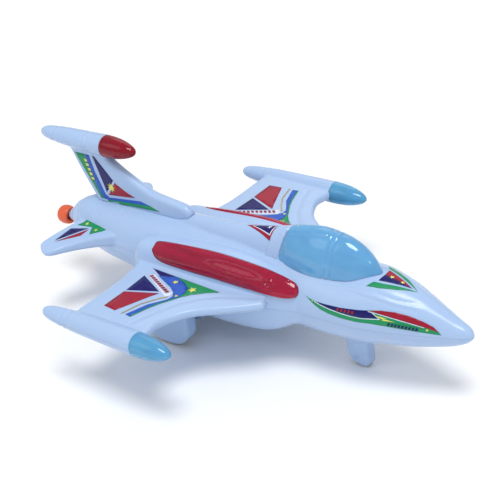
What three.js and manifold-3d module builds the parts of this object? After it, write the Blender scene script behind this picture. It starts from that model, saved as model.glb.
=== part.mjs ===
// Pull-cord toy jet with light-up lenses. Millimetres, +X to the nose, +Y to the left wing, +Z up.
// The origin is on the ground, under the middle of the bounding box.
import * as THREE from "three";
import { ParametricGeometry } from "three/addons/geometries/ParametricGeometry.js";
import { mergeVertices } from "three/addons/utils/BufferGeometryUtils.js";
import Module from "manifold-3d";

const wasm = await Module();
wasm.setup();

// ---------- driving dimensions ----------
const WALL = 1.8;
const GAP = 0.3;
const AROUND = 22;
const INNER_AROUND = 12;

const WING_TOP = 46.8;
const WING_BOTTOM = 41.5;
const POD_Y = 88.2;
const POD_Z = 43;
const POD_REAR = -69.5;
const POD_RADIUS = 6.65;
const POD_LENS_X = 0.8;
const FIN_POD_Z = 97.3;
const FIN_POD_REAR = -146;
const FIN_POD_LENS_X = -92;
const FIN_THICKNESS = 6.4;
const STABILISER_TOP = 53.2;
const STABILISER_BOTTOM = 42.4;
const STABILISER_FALL = 0.155;

const FRONT_PARTING = 39.2;
const WING_PARTING = 43;
const TAIL_PARTING = 43.8;
const PARTING_STEP_X = -57;
const PARTING_STEP_Y = 27.5;

const REAR_AXLE = { x: -33, z: 15 };
const REAR_WHEEL_RADIUS = 15;
const SPAT_INNER_Y = 28;
const SPAT_OUTER_Y = 38;
const SPAT_BOTTOM = 1.2;
const SPAT_HALF_LENGTH = 18;
const NOSE_AXLE = { x: 76, z: 5 };
const NOSE_WHEEL_RADIUS = 5;

const GEAR_MODULE = 0.9;
const RATCHET_TEETH = 26;
const PINION_TEETH = 11;
const FLYWHEEL_TEETH = 8;
const SPOOL = meshed(REAR_AXLE, RATCHET_TEETH + PINION_TEETH, 5);
const FLYWHEEL = meshed(SPOOL, RATCHET_TEETH + FLYWHEEL_TEETH, 13.6);
const GEAR_Y = 6.5;
const GEAR_WIDTH = 3;
const PLATE_INNER_Y = 14.6;
const PLATE_THICKNESS = 1.6;
const DRUM_RADIUS = 9;
const CORD_RADIUS = 0.6;

const KNOB = { x: -142.6, z: 39.8, radius: 5.9, half: 4.8 };
const TAIL_HOLE_Z = 41.2;

const BELLY_Z = 14.2;
const DOOR = { x0: -11, x1: 22, half: 11, thickness: 1.6 };
const CELL = { radius: 5.8, thickness: 5.4, z: 23.4, x0: -5 };
const SCREWS = [[104, 0], [52, 13], [52, -13], [-72, 10], [-72, -10], [-110, 7.5], [-110, -7.5]];

const CANOPY_REAR = 36.5;

// ---------- sections along X ----------
// Fuselage: x, half width, top, widest height, bottom
const FUSELAGE = [
  [-138.5, 0, 41.2, 41.2, 41.2],
  [-137, 2.7, 44, 41.4, 38.7],
  [-131, 5.6, 49.2, 43, 37.2],
  [-124, 10.1, 55, 44.1, 34],
  [-112, 14.7, 60, 44.5, 30.2],
  [-98, 17.5, 60.8, 43.5, 25.2],
  [-80, 19.5, 61.5, 43, 22.8],
  [-60, 21, 62, 42.5, 20.6],
  [-20, 22, 62.5, 42, 19.5],
  [40, 22, 62.5, 42, 19.5],
  [62, 22.4, 63, 42, 19.5],
  [80, 21.7, 62, 42, 20.2],
  [91, 20.9, 62.4, 41.8, 21.2],
  [100, 18.6, 61.2, 41.4, 23.3],
  [110, 15.9, 58.8, 40.3, 24.9],
  [120, 12.7, 55, 39.1, 26.9],
  [130, 9.3, 50.2, 38.5, 29.5],
  [138, 6.5, 46.2, 38.5, 32],
  [144, 4.1, 43.6, 39.2, 35],
  [146.6, 1.7, 41.2, 39.3, 37.5],
  [147.4, 0, 39.3, 39.3, 39.3],
];
// Hump behind the canopy: x, half width, top, base
const HUMP = [
  [-46, 4, 62.4, 50],
  [-36, 7, 65.2, 50],
  [-18, 8.6, 67.4, 50],
  [6, 9.4, 68.8, 50],
  [22, 10.4, 71.2, 50],
  [36.2, 11.4, 74.8, 50],
];
// Canopy: x, half width, top, base
const CANOPY = [
  [36.5, 11.4, 75.2, 50],
  [46, 13.6, 78, 50],
  [58, 14.8, 79.8, 50],
  [68, 14.2, 79.4, 50],
  [77, 12.6, 77.8, 50],
  [84, 10.8, 74.6, 50],
  [90, 7.8, 69.8, 50],
  [94.5, 4.6, 63.8, 50],
  [96.8, 1.6, 60.4, 50],
];
// Nacelle beside the cockpit: x, centre y, half width, top, widest height, bottom
const NACELLE = [
  [-56, 17, 12, 56.6, 40, 16.5],
  [-33, 17, 12.4, 58.4, 40, 15.4],
  [0, 17, 12.6, 61, 40, 14.8],
  [24, 17, 11.8, 60.4, 40, 17],
  [36, 16.5, 10.6, 58.8, 40, 20.4],
  [47, 15.5, 9.1, 56, 40.5, 26],
  [58, 14, 7, 52.6, 41, 31],
  [66, 11, 4, 48.5, 42, 36],
];
// Side lens: x, half width across its slope, rise at the crown
const SIDE_LENS = [
  [-46.3, 0.6, 0.4],
  [-44.4, 3.8, 1.6],
  [-38.6, 5.6, 2.6],
  [-22, 6.6, 3],
  [4, 7, 3.2],
  [28, 6.8, 3.1],
  [42, 6.2, 2.8],
  [50, 5, 2.3],
  [54, 3.2, 1.5],
  [55.6, 0.6, 0.4],
];
// Line of the side lens on the left nacelle: x, y, z
const SIDE_LENS_LINE = [
  [-46.3, 23.9, 52.6],
  [-22, 24.3, 54.4],
  [4, 24.5, 55.6],
  [28, 24, 54.8],
  [44, 22.4, 52.8],
  [55.6, 20.8, 51],
];
const LENS_DEPTH = 2.6;
const SIDE_LENS_TILT = THREE.MathUtils.degToRad(52);

// ---------- outlines ----------
// Left wing, seen from above: trailing edge to the tip, then the leading edge back to the root
const WING_OUTLINE = [
  [-54, 14], [-52.6, 26], [-50.4, 36], [-48.4, 48], [-48.2, 66], [-48.8, 86],
  [2.6, 86], [2, 79.3], [0.9, 72], [3.3, 65.5], [7, 59.2], [12.5, 53.4], [21, 47.4],
  [38.5, 34.6], [40.5, 31], [38, 26], [30, 14],
];
const STABILISER_OUTLINE = [
  [-111, 6], [-112.6, 12], [-114.4, 16.4], [-116.5, 22.5], [-119.4, 31.8], [-121, 39.5],
  [-119.9, 42.4], [-116, 45.2], [-111.6, 46.4], [-108, 44.4], [-103.4, 38.6], [-97.5, 32.2],
  [-89.4, 25], [-79, 18.4], [-70, 12], [-70, 6],
];
// Fin, seen from the side: x, z
const FIN_OUTLINE = [
  [-123.5, 94], [-121.4, 91], [-115.9, 78.3], [-107.9, 62.7], [-105.5, 57], [-32, 57],
  [-31.4, 66.4], [-34, 69.8], [-38, 71.2], [-49, 72.5], [-59.5, 74], [-66.4, 76.6],
  [-73.6, 79.8], [-81.6, 83.9], [-90.4, 89.6], [-93, 95],
];
// Wire channel inside the fin: x, z
const FIN_CHANNEL = [[-111, 98], [-92, 67], [-86, 50], [-74, 50], [-74, 68], [-98, 98]];
const NOSE_LEG_OUTLINE = [
  [68, 30], [69.4, 15.2], [69.7, 8], [71.2, 4], [74.4, 1.4], [78.6, 0.4],
  [82, 2.2], [82.9, 6.4], [83.2, 14], [84.8, 30],
];
const PLATE_OUTLINE = [
  [-43.6, 9.8], [-24.6, 9.8], [-22.8, 19.2], [-6, 19.2], [-6, 47], [-9, 50], [-41, 50], [-43.6, 47],
];
const BELLY_OUTLINE = [
  [-56, 16], [-54.6, BELLY_Z], [25, BELLY_Z], [31, 16], [41, 21.5], [50, 30], [-56, 30],
];
const WELL_OUTLINE = [
  [-48, 22], [-47.4, 10], [-45, 7.4], [-23.6, 7.4], [-20.4, 10], [-18, 22],
];

// ---------- helpers ----------
// The axis of a gear that meshes with one at `from`, further forward by dx and above it
function meshed(from, teeth, dx) {
  const distance = teeth * GEAR_MODULE / 2;
  return { x: from.x + dx, z: from.z + Math.sqrt(distance ** 2 - dx ** 2) };
}

function blendRows(table, place) {
  const last = table.length - 1;
  const first = Math.min(Math.floor(place), last - 1);
  const t = place - first;
  const row = (k) => table[THREE.MathUtils.clamp(k, 0, last)];
  return table[0].map((_, column) => {
    const [a, b, c, d] = [-1, 0, 1, 2].map((k) => row(first + k)[column]);
    const slopeB = (c - a) / 2;
    const slopeC = (d - b) / 2;
    const t2 = t * t;
    const t3 = t2 * t;
    return (2 * t3 - 3 * t2 + 1) * b + (t3 - 2 * t2 + t) * slopeB
      + (3 * t2 - 2 * t3) * c + (t3 - t2) * slopeC;
  });
}

function rowAt(table, x) {
  const next = table.findIndex((row) => row[0] >= x);
  if (next <= 0) return table[next === 0 ? 0 : table.length - 1];
  const [a, b] = [table[next - 1], table[next]];
  const t = (x - a[0]) / (b[0] - a[0]);
  return a.map((value, column) => THREE.MathUtils.lerp(value, b[column], t));
}

function solid(geometry) {
  geometry.deleteAttribute("normal");
  geometry.deleteAttribute("uv");
  const merged = mergeVertices(geometry, 1e-3);
  const source = merged.index.array;
  const corners = [];
  for (let i = 0; i < source.length; i += 3) {
    const [a, b, c] = source.slice(i, i + 3);
    if (a !== b && b !== c && c !== a) corners.push(a, b, c);
  }
  const mesh = new wasm.Mesh({
    numProp: 3,
    vertProperties: new Float32Array(merged.attributes.position.array),
    triVerts: new Uint32Array(corners),
  });
  return new wasm.Manifold(mesh);
}

function toGeometry(manifold) {
  const mesh = manifold.getMesh();
  const geometry = new THREE.BufferGeometry();
  geometry.setAttribute("position", new THREE.BufferAttribute(mesh.vertProperties, 3));
  geometry.setIndex(new THREE.BufferAttribute(mesh.triVerts, 1));
  return geometry;
}

// A body through a table of sections; pointAt(row, turn) gives the section's point, 0 <= turn <= 1.
// Flat ends are closed by shrinking an extra section to its centre.
function loft(table, pointAt, { steps = 1, around = AROUND } = {}) {
  const stacks = (table.length - 1) * steps + 2;
  const centre = (row) => {
    const middle = new THREE.Vector3();
    for (let k = 0; k < around; k += 1) middle.add(pointAt(row, k / around));
    return middle.divideScalar(around);
  };
  const surface = (u, v, target) => {
    const ring = Math.round(v * stacks);
    const place = THREE.MathUtils.clamp((ring - 1) / steps, 0, table.length - 1);
    const row = blendRows(table, place);
    const turn = u >= 1 ? 0 : u;
    target.copy(ring === 0 || ring === stacks ? centre(row) : pointAt(row, turn));
  };
  return solid(new ParametricGeometry(surface, around, stacks));
}

function ovalPoint(x, y, halfWidth, top, middle, bottom, turn, power = 2) {
  const angle = turn * 2 * Math.PI;
  const round = (value) => Math.sign(value) * Math.abs(value) ** (2 / power);
  const side = round(Math.cos(angle));
  const rise = round(Math.sin(angle));
  const height = rise > 0 ? top - middle : middle - bottom;
  return new THREE.Vector3(x, y + halfWidth * side, middle + height * rise);
}

function outlineShape(points) {
  return new THREE.Shape(points.map(([a, b]) => new THREE.Vector2(a, b)));
}

function mirrorPoints(points) {
  return points.map(([a, b]) => [a, -b]).reverse();
}

// A plate in X and Y, from z0 to z1, with rounded edges that keep its outline
function plateGeometry(points, z0, z1, edge) {
  const geometry = new THREE.ExtrudeGeometry(outlineShape(points), {
    depth: z1 - z0 - 2 * edge,
    bevelEnabled: edge > 0,
    bevelThickness: edge,
    bevelSize: edge,
    bevelOffset: -edge,
    bevelSegments: 2,
    curveSegments: 6,
  });
  return geometry.translate(0, 0, z0 + edge);
}

function plateXY(points, z0, z1, edge = 0) {
  return solid(plateGeometry(points, z0, z1, edge));
}

// The same, but its top falls by `fall` for each millimetre away from the middle
function fallingPlate(points, z0, z1, fall, edge) {
  const geometry = plateGeometry(points, z0, z1, edge);
  const position = geometry.attributes.position;
  for (let i = 0; i < position.count; i += 1) {
    const share = (position.getZ(i) - z0) / (z1 - z0);
    position.setZ(i, position.getZ(i) - share * fall * Math.abs(position.getY(i)));
  }
  return solid(geometry);
}

// A plate in X and Z, from y0 to y1
function plateXZ(shape, y0, y1, edge = 0) {
  const geometry = new THREE.ExtrudeGeometry(shape, {
    depth: y1 - y0 - 2 * edge,
    bevelEnabled: edge > 0,
    bevelThickness: edge,
    bevelSize: edge,
    bevelOffset: -edge,
    bevelSegments: 2,
    curveSegments: 8,
  });
  return solid(geometry.rotateX(Math.PI / 2).translate(0, y1 - edge, 0));
}

function box(x0, x1, y0, y1, z0, z1) {
  const geometry = new THREE.BoxGeometry(x1 - x0, y1 - y0, z1 - z0);
  return solid(geometry.translate((x0 + x1) / 2, (y0 + y1) / 2, (z0 + z1) / 2));
}

// Turned pieces: the profile's points are [radius, distance along the axis]
function turned(profile, segments = 24) {
  const points = profile.map(([r, a]) => new THREE.Vector2(r, a));
  return new THREE.LatheGeometry(points, segments);
}

function turnedY(profile, x, z, segments) {
  return solid(turned(profile, segments).translate(x, 0, z));
}

function turnedX(profile, y, z, segments) {
  return solid(turned(profile, segments).rotateZ(-Math.PI / 2).translate(0, y, z));
}

function turnedZ(profile, x, y, segments) {
  return solid(turned(profile, segments).rotateX(Math.PI / 2).translate(x, y, 0));
}

function rod(radius, a0, a1) {
  return [[0, a0], [radius, a0], [radius, a1], [0, a1]];
}

function ring(inner, outer, a0, a1) {
  return [[inner, a0], [outer, a0], [outer, a1], [inner, a1], [inner, a0]];
}

function joined(...parts) {
  return parts.reduce((sum, part) => sum.add(part));
}

// ---------- finishes ----------
const FINISHES = {
  whitePlastic: { color: 0xdfe7fb, roughness: 0.3, metalness: 0 },
  bluePlastic: { color: 0x3f9be8, roughness: 0.12, metalness: 0 },
  redPlastic: { color: 0xb01630, roughness: 0.12, metalness: 0 },
  orangePlastic: { color: 0xe0603a, roughness: 0.4, metalness: 0 },
  blackPlastic: { color: 0x2a2b2f, roughness: 0.55, metalness: 0 },
  acetal: { color: 0xe6e2d4, roughness: 0.45, metalness: 0 },
  steel: { color: 0xa9adb2, roughness: 0.3, metalness: 1 },
  cord: { color: 0xf2f2ee, roughness: 0.8, metalness: 0 },
  board: { color: 0x2f6b3a, roughness: 0.5, metalness: 0 },
  wire: { color: 0xb03030, roughness: 0.5, metalness: 0 },
  clearLed: { color: 0xf4f4f0, roughness: 0.1, metalness: 0 },
};

const airplane = new THREE.Group();

function addPiece(name, manifold, finish) {
  const mesh = new THREE.Mesh(toGeometry(manifold), new THREE.MeshStandardMaterial(FINISHES[finish]));
  mesh.name = name;
  airplane.add(mesh);
}

// ---------- body forms, grown or shrunk by an offset ----------
function fuselage(offset, around = AROUND) {
  const point = ([x, half, top, middle, bottom], turn) => {
    const grow = half > 0.5 ? Math.max(offset, -half * 0.8) : 0;
    return ovalPoint(x, 0, half + grow, top + grow, middle, bottom - grow, turn);
  };
  return loft(FUSELAGE, point, { around });
}

function hump(table, offset, around = AROUND) {
  const point = ([x, half, top, base], turn) =>
    ovalPoint(x, 0, half + offset, top + offset, base, base - 4, turn);
  return loft(table, point, { around });
}

function nacelle(side, offset, around = 16) {
  const point = ([x, y, half, top, middle, bottom], turn) => {
    const power = turn < 0.5 ? 2.6 : 2;
    return ovalPoint(x, side * y, half + offset, top + offset, middle, bottom - offset, turn, power);
  };
  return loft(NACELLE, point, { around });
}

function sideLensForm(side, grow, depth) {
  const across = new THREE.Vector3(0, side * Math.cos(SIDE_LENS_TILT), -Math.sin(SIDE_LENS_TILT));
  const outward = new THREE.Vector3(0, side * Math.sin(SIDE_LENS_TILT), Math.cos(SIDE_LENS_TILT));
  const point = ([x, half, crown], turn) => {
    const [, y, z] = rowAt(SIDE_LENS_LINE, x);
    const angle = side * turn * 2 * Math.PI;
    const lift = Math.sin(angle);
    const height = lift > 0 ? (crown + grow) * lift : depth * lift;
    return new THREE.Vector3(x, side * y, z)
      .addScaledVector(across, Math.max(half + grow, 0.2) * Math.cos(angle))
      .addScaledVector(outward, height);
  };
  return loft(SIDE_LENS, point, { around: 12 });
}

// Pod and lens profiles: radius, distance from the rear tip of the pod or of the lens
const POD_PROFILE = [[0, 0], [1.7, 0.4], [3, 2.4], [4.1, 6.6], [5.1, 16], [5.9, 31]];
const LENS_PROFILE = [[POD_RADIUS, 0], [6.45, 5.2], [5.8, 11], [4.5, 16.4], [2.5, 21], [0, 23.2]];
const LENS_HOLLOW = [[5.3, 0], [5.1, 5.4], [4.5, 10.8], [3.2, 15.8], [1.4, 19.8], [0, 21.2]];

function podLens(x, y, z) {
  const profile = [...LENS_PROFILE, ...LENS_HOLLOW.toReversed(), LENS_PROFILE[0]];
  return turnedX(profile.map(([r, a]) => [r, a + x + GAP]), y, z, 18);
}

function pod(rearX, lensX, y, z) {
  const profile = POD_PROFILE.map(([r, a]) => [r, a + rearX]);
  return turnedX([...profile, [POD_RADIUS, lensX], [0, lensX]], y, z, 18);
}

function below(margin) {
  const deep = -20;
  const front = box(-200, 200, -120, 120, deep, FRONT_PARTING + margin);
  const tail = box(-200, PARTING_STEP_X + margin, -120, 120, deep, TAIL_PARTING + margin);
  const sides = [1, -1].map((side) => {
    const [y0, y1] = sideSpan(side, PARTING_STEP_Y - margin, 120);
    return box(PARTING_STEP_X - 1, 200, y0, y1, deep, WING_PARTING + margin);
  });
  return joined(front, tail, ...sides);
}

// ---------- outer form, hollow and openings ----------
// Side view of a wheel housing: straight sides over a squarish round bottom
function housingShape(inset, top) {
  const half = SPAT_HALF_LENGTH - inset;
  const bottom = SPAT_BOTTOM + inset;
  const middle = bottom + half;
  const points = [[REAR_AXLE.x - half, top]];
  const bends = 12;
  for (let k = 0; k <= bends; k += 1) {
    const angle = Math.PI + k / bends * Math.PI;
    const bend = (value) => Math.sign(value) * Math.abs(value) ** (2 / 2.8);
    points.push([REAR_AXLE.x + half * bend(Math.cos(angle)), middle + half * bend(Math.sin(angle))]);
  }
  points.push([REAR_AXLE.x + half, top]);
  return outlineShape(points);
}

function sideSpan(side, inner, outer) {
  return side > 0 ? [inner, outer] : [-outer, -inner];
}

function spat(side) {
  const [y0, y1] = sideSpan(side, SPAT_INNER_Y, SPAT_OUTER_Y);
  return plateXZ(housingShape(0, WING_BOTTOM + 1.2), y0, y1, 1.6);
}

function wheelWell(side) {
  const wall = 2;
  const [y0, y1] = sideSpan(side, SPAT_INNER_Y + wall, SPAT_OUTER_Y - wall);
  const reach = REAR_WHEEL_RADIUS + 0.8;
  return box(REAR_AXLE.x - reach, REAR_AXLE.x + reach, y0, y1, -4, REAR_AXLE.z + reach);
}

function outerForm() {
  const wings = [WING_OUTLINE, mirrorPoints(WING_OUTLINE)]
    .map((points) => plateXY(points, WING_BOTTOM, WING_TOP, 1.9));
  const stabilisers = [STABILISER_OUTLINE, mirrorPoints(STABILISER_OUTLINE)]
    .map((points) => fallingPlate(points, STABILISER_BOTTOM, STABILISER_TOP, STABILISER_FALL, 1.5));
  const pods = [POD_Y, -POD_Y].map((y) => pod(POD_REAR, POD_LENS_X, y, POD_Z));
  const well = plateXZ(outlineShape(WELL_OUTLINE), -18.4, 18.4);
  const belly = plateXZ(outlineShape(BELLY_OUTLINE), -14.6, 14.6, 1.2);
  const leg = plateXZ(outlineShape(NOSE_LEG_OUTLINE), -4, 4, 1);
  return joined(fuselage(0), hump(HUMP, 0), nacelle(1, 0), nacelle(-1, 0), ...wings, ...stabilisers,
    ...pods, well, belly, leg, spat(1), spat(-1));
}

function hollowForm() {
  const wires = [1, -1].map((side) => {
    const [y0, y1] = sideSpan(side, 18, POD_Y - 3);
    return box(-24, -14, y0, y1, WING_PARTING, 45);
  });
  const bores = [POD_Y, -POD_Y].map((y) => turnedX(rod(4.2, -30, POD_LENS_X + 1), y, POD_Z, 16));
  const well = box(-45.6, -22, -16.8, 16.8, 8.9, 30);
  const belly = box(-54, 27, -12.8, 12.8, BELLY_Z + WALL, 30);
  const leg = box(NOSE_AXLE.x - 5.6, NOSE_AXLE.x + 5.4, -2.3, 2.3, -4, NOSE_AXLE.z + 6);
  const behindCanopy = box(-100, CANOPY_REAR - WALL, -60, 60, 0, 90);
  const aheadOfStep = box(NACELLE[0][0] + WALL, 100, -60, 60, 0, 90);
  const humpRoom = hump(HUMP, -WALL, INNER_AROUND).intersect(behindCanopy);
  const rooms = [1, -1].map((side) => nacelle(side, -WALL, INNER_AROUND).intersect(aheadOfStep));
  return joined(fuselage(-WALL, INNER_AROUND), humpRoom, ...rooms, ...wires,
    ...bores, well, belly, leg, wheelWell(1), wheelWell(-1));
}

function bossPair([x, y]) {
  const [, , top, , bottom] = rowAt(FUSELAGE, x);
  const split = x < PARTING_STEP_X ? TAIL_PARTING : FRONT_PARTING;
  const post = turnedZ(rod(3.4, bottom, top), x, y, 10);
  const recess = turnedZ(rod(2.7, bottom - 8, split - 8), x, y, 10);
  const bore = turnedZ(rod(1.2, split - 9, split + 7.4), x, y, 8);
  return { post, cut: recess.add(bore), seat: split - 8 };
}

function shells() {
  const bosses = SCREWS.map(bossPair);
  const inside = fuselage(-WALL / 2, INNER_AROUND).add(box(-54, 25, -13, 13, BELLY_Z + 1, 40));
  const posts = joined(...bosses.map((boss) => boss.post)).intersect(inside);
  const openings = joined(
    ...bosses.map((boss) => boss.cut),
    plateXY([[43, -8.8], [82, -8.8], [90, -4.6], [90, 4.6], [82, 8.8], [43, 8.8]], 50, 70),
    box(DOOR.x0, DOOR.x1, -DOOR.half, DOOR.half, 10, BELLY_Z + 4),
    turnedX(rod(1.9, -145, -120), 0, TAIL_HOLE_Z, 10),
    ...[POD_Y, -POD_Y].map((y) => turnedX(rod(POD_RADIUS + GAP, POD_LENS_X, 30), y, POD_Z, 16)),
    turnedY(rod(1.6, -SPAT_OUTER_Y + 2, SPAT_OUTER_Y - 2), REAR_AXLE.x, REAR_AXLE.z, 12),
    turnedY(rod(1, -3.6, 3.6), NOSE_AXLE.x, NOSE_AXLE.z, 10),
    box(-92.3, -63.7, -2.9, 2.9, 54, 70),
    sideLensForm(1, GAP, LENS_DEPTH + GAP),
    sideLensForm(-1, GAP, LENS_DEPTH + GAP),
  );
  const whole = outerForm().subtract(hollowForm()).add(posts).subtract(openings);
  return { upper: whole.subtract(below(GAP / 2)), lower: whole.intersect(below(-GAP / 2)) };
}

// ---------- airframe pieces ----------
function airframe() {
  const { upper, lower } = shells();
  addPiece("upper_shell", upper, "whitePlastic");
  addPiece("lower_shell", lower, "whitePlastic");
}

function fin() {
  const tab = box(-92, -64, -2.6, 2.6, 55.5, 66);
  const blade = plateXZ(outlineShape(FIN_OUTLINE), -FIN_THICKNESS / 2, FIN_THICKNESS / 2, 1.9);
  const finPod = pod(FIN_POD_REAR, FIN_POD_LENS_X, 0, FIN_POD_Z);
  const bore = turnedX(rod(4.2, -122, FIN_POD_LENS_X + 1), 0, FIN_POD_Z, 16);
  const channel = plateXZ(outlineShape(FIN_CHANNEL), -1.2, 1.2);
  const seated = blade.add(finPod).subtract(fuselage(GAP)).subtract(hump(HUMP, GAP));
  const lensRoom = turnedX(rod(POD_RADIUS + GAP, FIN_POD_LENS_X, -60), 0, FIN_POD_Z, 16);
  const whole = joined(seated, tab).subtract(joined(bore, channel, lensRoom));
  addPiece("fin_left_shell", whole.intersect(box(-200, 0, GAP / 2, 20, 0, 120)), "whitePlastic");
  addPiece("fin_right_shell", whole.intersect(box(-200, 0, -20, -GAP / 2, 0, 120)), "whitePlastic");
}

function canopy() {
  const outer = hump(CANOPY, 0).subtract(fuselage(GAP));
  const inner = hump(CANOPY, -1.5).intersect(box(CANOPY_REAR + 1.5, 95, -20, 20, 40, 90));
  addPiece("canopy", outer.subtract(inner), "bluePlastic");
}

function cockpit() {
  const floor = [[43.6, -8.2], [81.6, -8.2], [89.2, -4.2], [89.2, 4.2], [81.6, 8.2], [43.6, 8.2]];
  const tray = plateXY(floor, 51, 59);
  const hollow = plateXY([[45, -6.8], [81, -6.8], [87.6, -3.4], [87.6, 3.4], [81, 6.8], [45, 6.8]], 52.5, 60);
  const seat = box(50, 58, -4.4, 4.4, 52, 56).add(box(47, 50.4, -4.4, 4.4, 52, 66));
  const panel = box(72, 76.4, -5.6, 5.6, 52, 61.6);
  const ledHole = turnedZ(rod(2.9, 48, 54), 82, 0, 12);
  addPiece("cockpit_tub", tray.subtract(hollow).add(seat).add(panel).subtract(ledHole), "whitePlastic");
}

function lenses() {
  for (const [name, side] of [["left", 1], ["right", -1]]) {
    addPiece(`wing_lens_${name}`, podLens(POD_LENS_X, side * POD_Y, POD_Z), "bluePlastic");
    const sideLens = sideLensForm(side, 0, LENS_DEPTH).subtract(sideLensForm(side, -1.4, 3 * LENS_DEPTH));
    addPiece(`side_lens_${name}`, sideLens, "redPlastic");
  }
  addPiece("fin_lens", podLens(FIN_POD_LENS_X, 0, FIN_POD_Z), "redPlastic");
}

function fasteners() {
  SCREWS.forEach((place, index) => {
    const { seat } = bossPair(place);
    const profile = [[0, seat - 1.9], [1.6, seat - 1.9], [2.3, seat - 1.2], [2.3, seat - 0.3],
      [0.9, seat - 0.3], [0.9, seat + 14], [0, seat + 15]];
    addPiece(`case_screw_${index + 1}`, turnedZ(profile, place[0], place[1], 10), "steel");
  });
}

// ---------- power and light ----------
function led(name, x, y, z, axis) {
  const profile = [[0, 0], [2.3, 0], [2.3, 1], [1.9, 1], [1.9, 4], [1.2, 5.6], [0, 6.1]];
  const geometry = turned(profile, 10);
  const turns = { "+x": [0, 0, -Math.PI / 2], "+z": [Math.PI / 2, 0, 0], out: [0, 0, 0] };
  const [rx, , rz] = turns[axis] ?? turns.out;
  geometry.rotateX(rx).rotateZ(rz);
  if (axis === "left") geometry.rotateX(THREE.MathUtils.degToRad(35));
  if (axis === "right") geometry.rotateX(THREE.MathUtils.degToRad(145));
  addPiece(name, solid(geometry.translate(x, y, z)), "clearLed");
}

function wire(name, points, radius) {
  const path = new THREE.CatmullRomCurve3(points.map((p) => new THREE.Vector3(...p)));
  const section = new THREE.Shape().absarc(0, 0, radius, 0, 2 * Math.PI, false);
  const geometry = new THREE.ExtrudeGeometry(section, {
    extrudePath: path, steps: points.length * 3, curveSegments: 3, bevelEnabled: false,
  });
  addPiece(name, solid(geometry), "wire");
}

function lights() {
  led("led_cockpit", 82, 0, 51.2, "+z");
  led("led_fin", FIN_POD_LENS_X - 1, 0, FIN_POD_Z, "+x");
  for (const [name, side] of [["left", 1], ["right", -1]]) {
    led(`led_wing_${name}`, POD_LENS_X - 1, side * POD_Y, POD_Z, "+x");
    led(`led_side_${name}`, 40, side * 16.4, 46.2, name);
    wire(`wing_wire_${name}`, [[2, side * 9, 43.9], [1, side * 17, 43.9], [-8, side * 23, 43.9],
      [-19, side * 31, 44.1], [-19, side * 55, 44.1], [-19, side * 78, 44.1],
      [-14, side * 86, 43.4], [POD_LENS_X - 2.2, side * POD_Y, POD_Z]], 0.65);
  }
  wire("fin_wire", [[-4.5, 4, 46], [-14, 4, 53.6], [-40, 3, 55.5], [-62, 1, 53], [-76, 0, 52.6],
    [-81, 0, 60], [-88, 0, 72], [-96, 0, 85], [-101, 0, 94], [FIN_POD_LENS_X - 2.4, 0, 97.3]], 0.65);
  const board = box(-3, 23, -8, 8, 41, 42.4).add(box(4, 10, -3, 3, 42, 43.4));
  addPiece("light_board", board, "board");
}

function batteries() {
  const door = box(DOOR.x0 + GAP, DOOR.x1 - GAP, -DOOR.half + GAP, DOOR.half - GAP, BELLY_Z,
    BELLY_Z + DOOR.thickness);
  const tongue = box(DOOR.x0 - 2.4, DOOR.x0 + 4, -4, 4, BELLY_Z + 2.2, BELLY_Z + 3.4)
    .add(box(DOOR.x0 + 1, DOOR.x0 + 4, -4, 4, BELLY_Z + 1, BELLY_Z + 3));
  const screwHole = turnedZ(rod(1.3, 10, 20), 19, 0, 10).add(turnedZ(rod(2.4, 10, BELLY_Z + 1), 19, 0, 10));
  addPiece("battery_door", door.add(tongue).subtract(screwHole), "whitePlastic");
  const cells = 3;
  const x1 = CELL.x0 + cells * (CELL.thickness + GAP);
  const wall = 1.4;
  const room = CELL.radius + 0.5;
  const holder = box(CELL.x0 - 3, x1 + 3, -room - wall, room + wall, BELLY_Z + 3.6, CELL.z + room + wall)
    .subtract(box(CELL.x0 - 1.6, x1 + 1.6, -room, room, 0, CELL.z + room))
    .add(box(x1 + 2, x1 + 7.6, -3.6, 3.6, BELLY_Z + 2.2, BELLY_Z + 9))
    .subtract(turnedZ(rod(1.2, 10, BELLY_Z + 8), 19, 0, 10))
    .add(box(-1, 1, -7, -5, CELL.z + room, 40.6))
    .add(box(12, 14, 5, 7, CELL.z + room, 40.6));
  addPiece("battery_holder", holder, "blackPlastic");
  for (let cell = 0; cell < cells; cell += 1) {
    const start = CELL.x0 + cell * (CELL.thickness + GAP);
    const end = start + CELL.thickness;
    const profile = [[0, start], [4.6, start], [4.6, start + 0.5], [CELL.radius, start + 0.9],
      [CELL.radius, end], [0, end]];
    addPiece(`button_cell_${cell + 1}`, turnedX(profile, 0, CELL.z, 16), "steel");
  }
  const leaf = (x0, x1Leaf) => box(x0, x1Leaf, -3, 3, CELL.z - 4.4, CELL.z + 4.4);
  addPiece("contact_minus", leaf(CELL.x0 - 1.2, CELL.x0 - 0.5), "steel");
  addPiece("contact_plus", leaf(x1 + 0.3, x1 + 1), "steel");
  const screw = [[0, 0.1], [2, 0.1], [2, 0.7], [0.9, 0.7], [0.9, 7], [0, 7.6]]
    .map(([r, a]) => [r, a + BELLY_Z]);
  addPiece("battery_door_screw", turnedZ(screw, 19, 0, 10), "steel");
}

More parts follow.
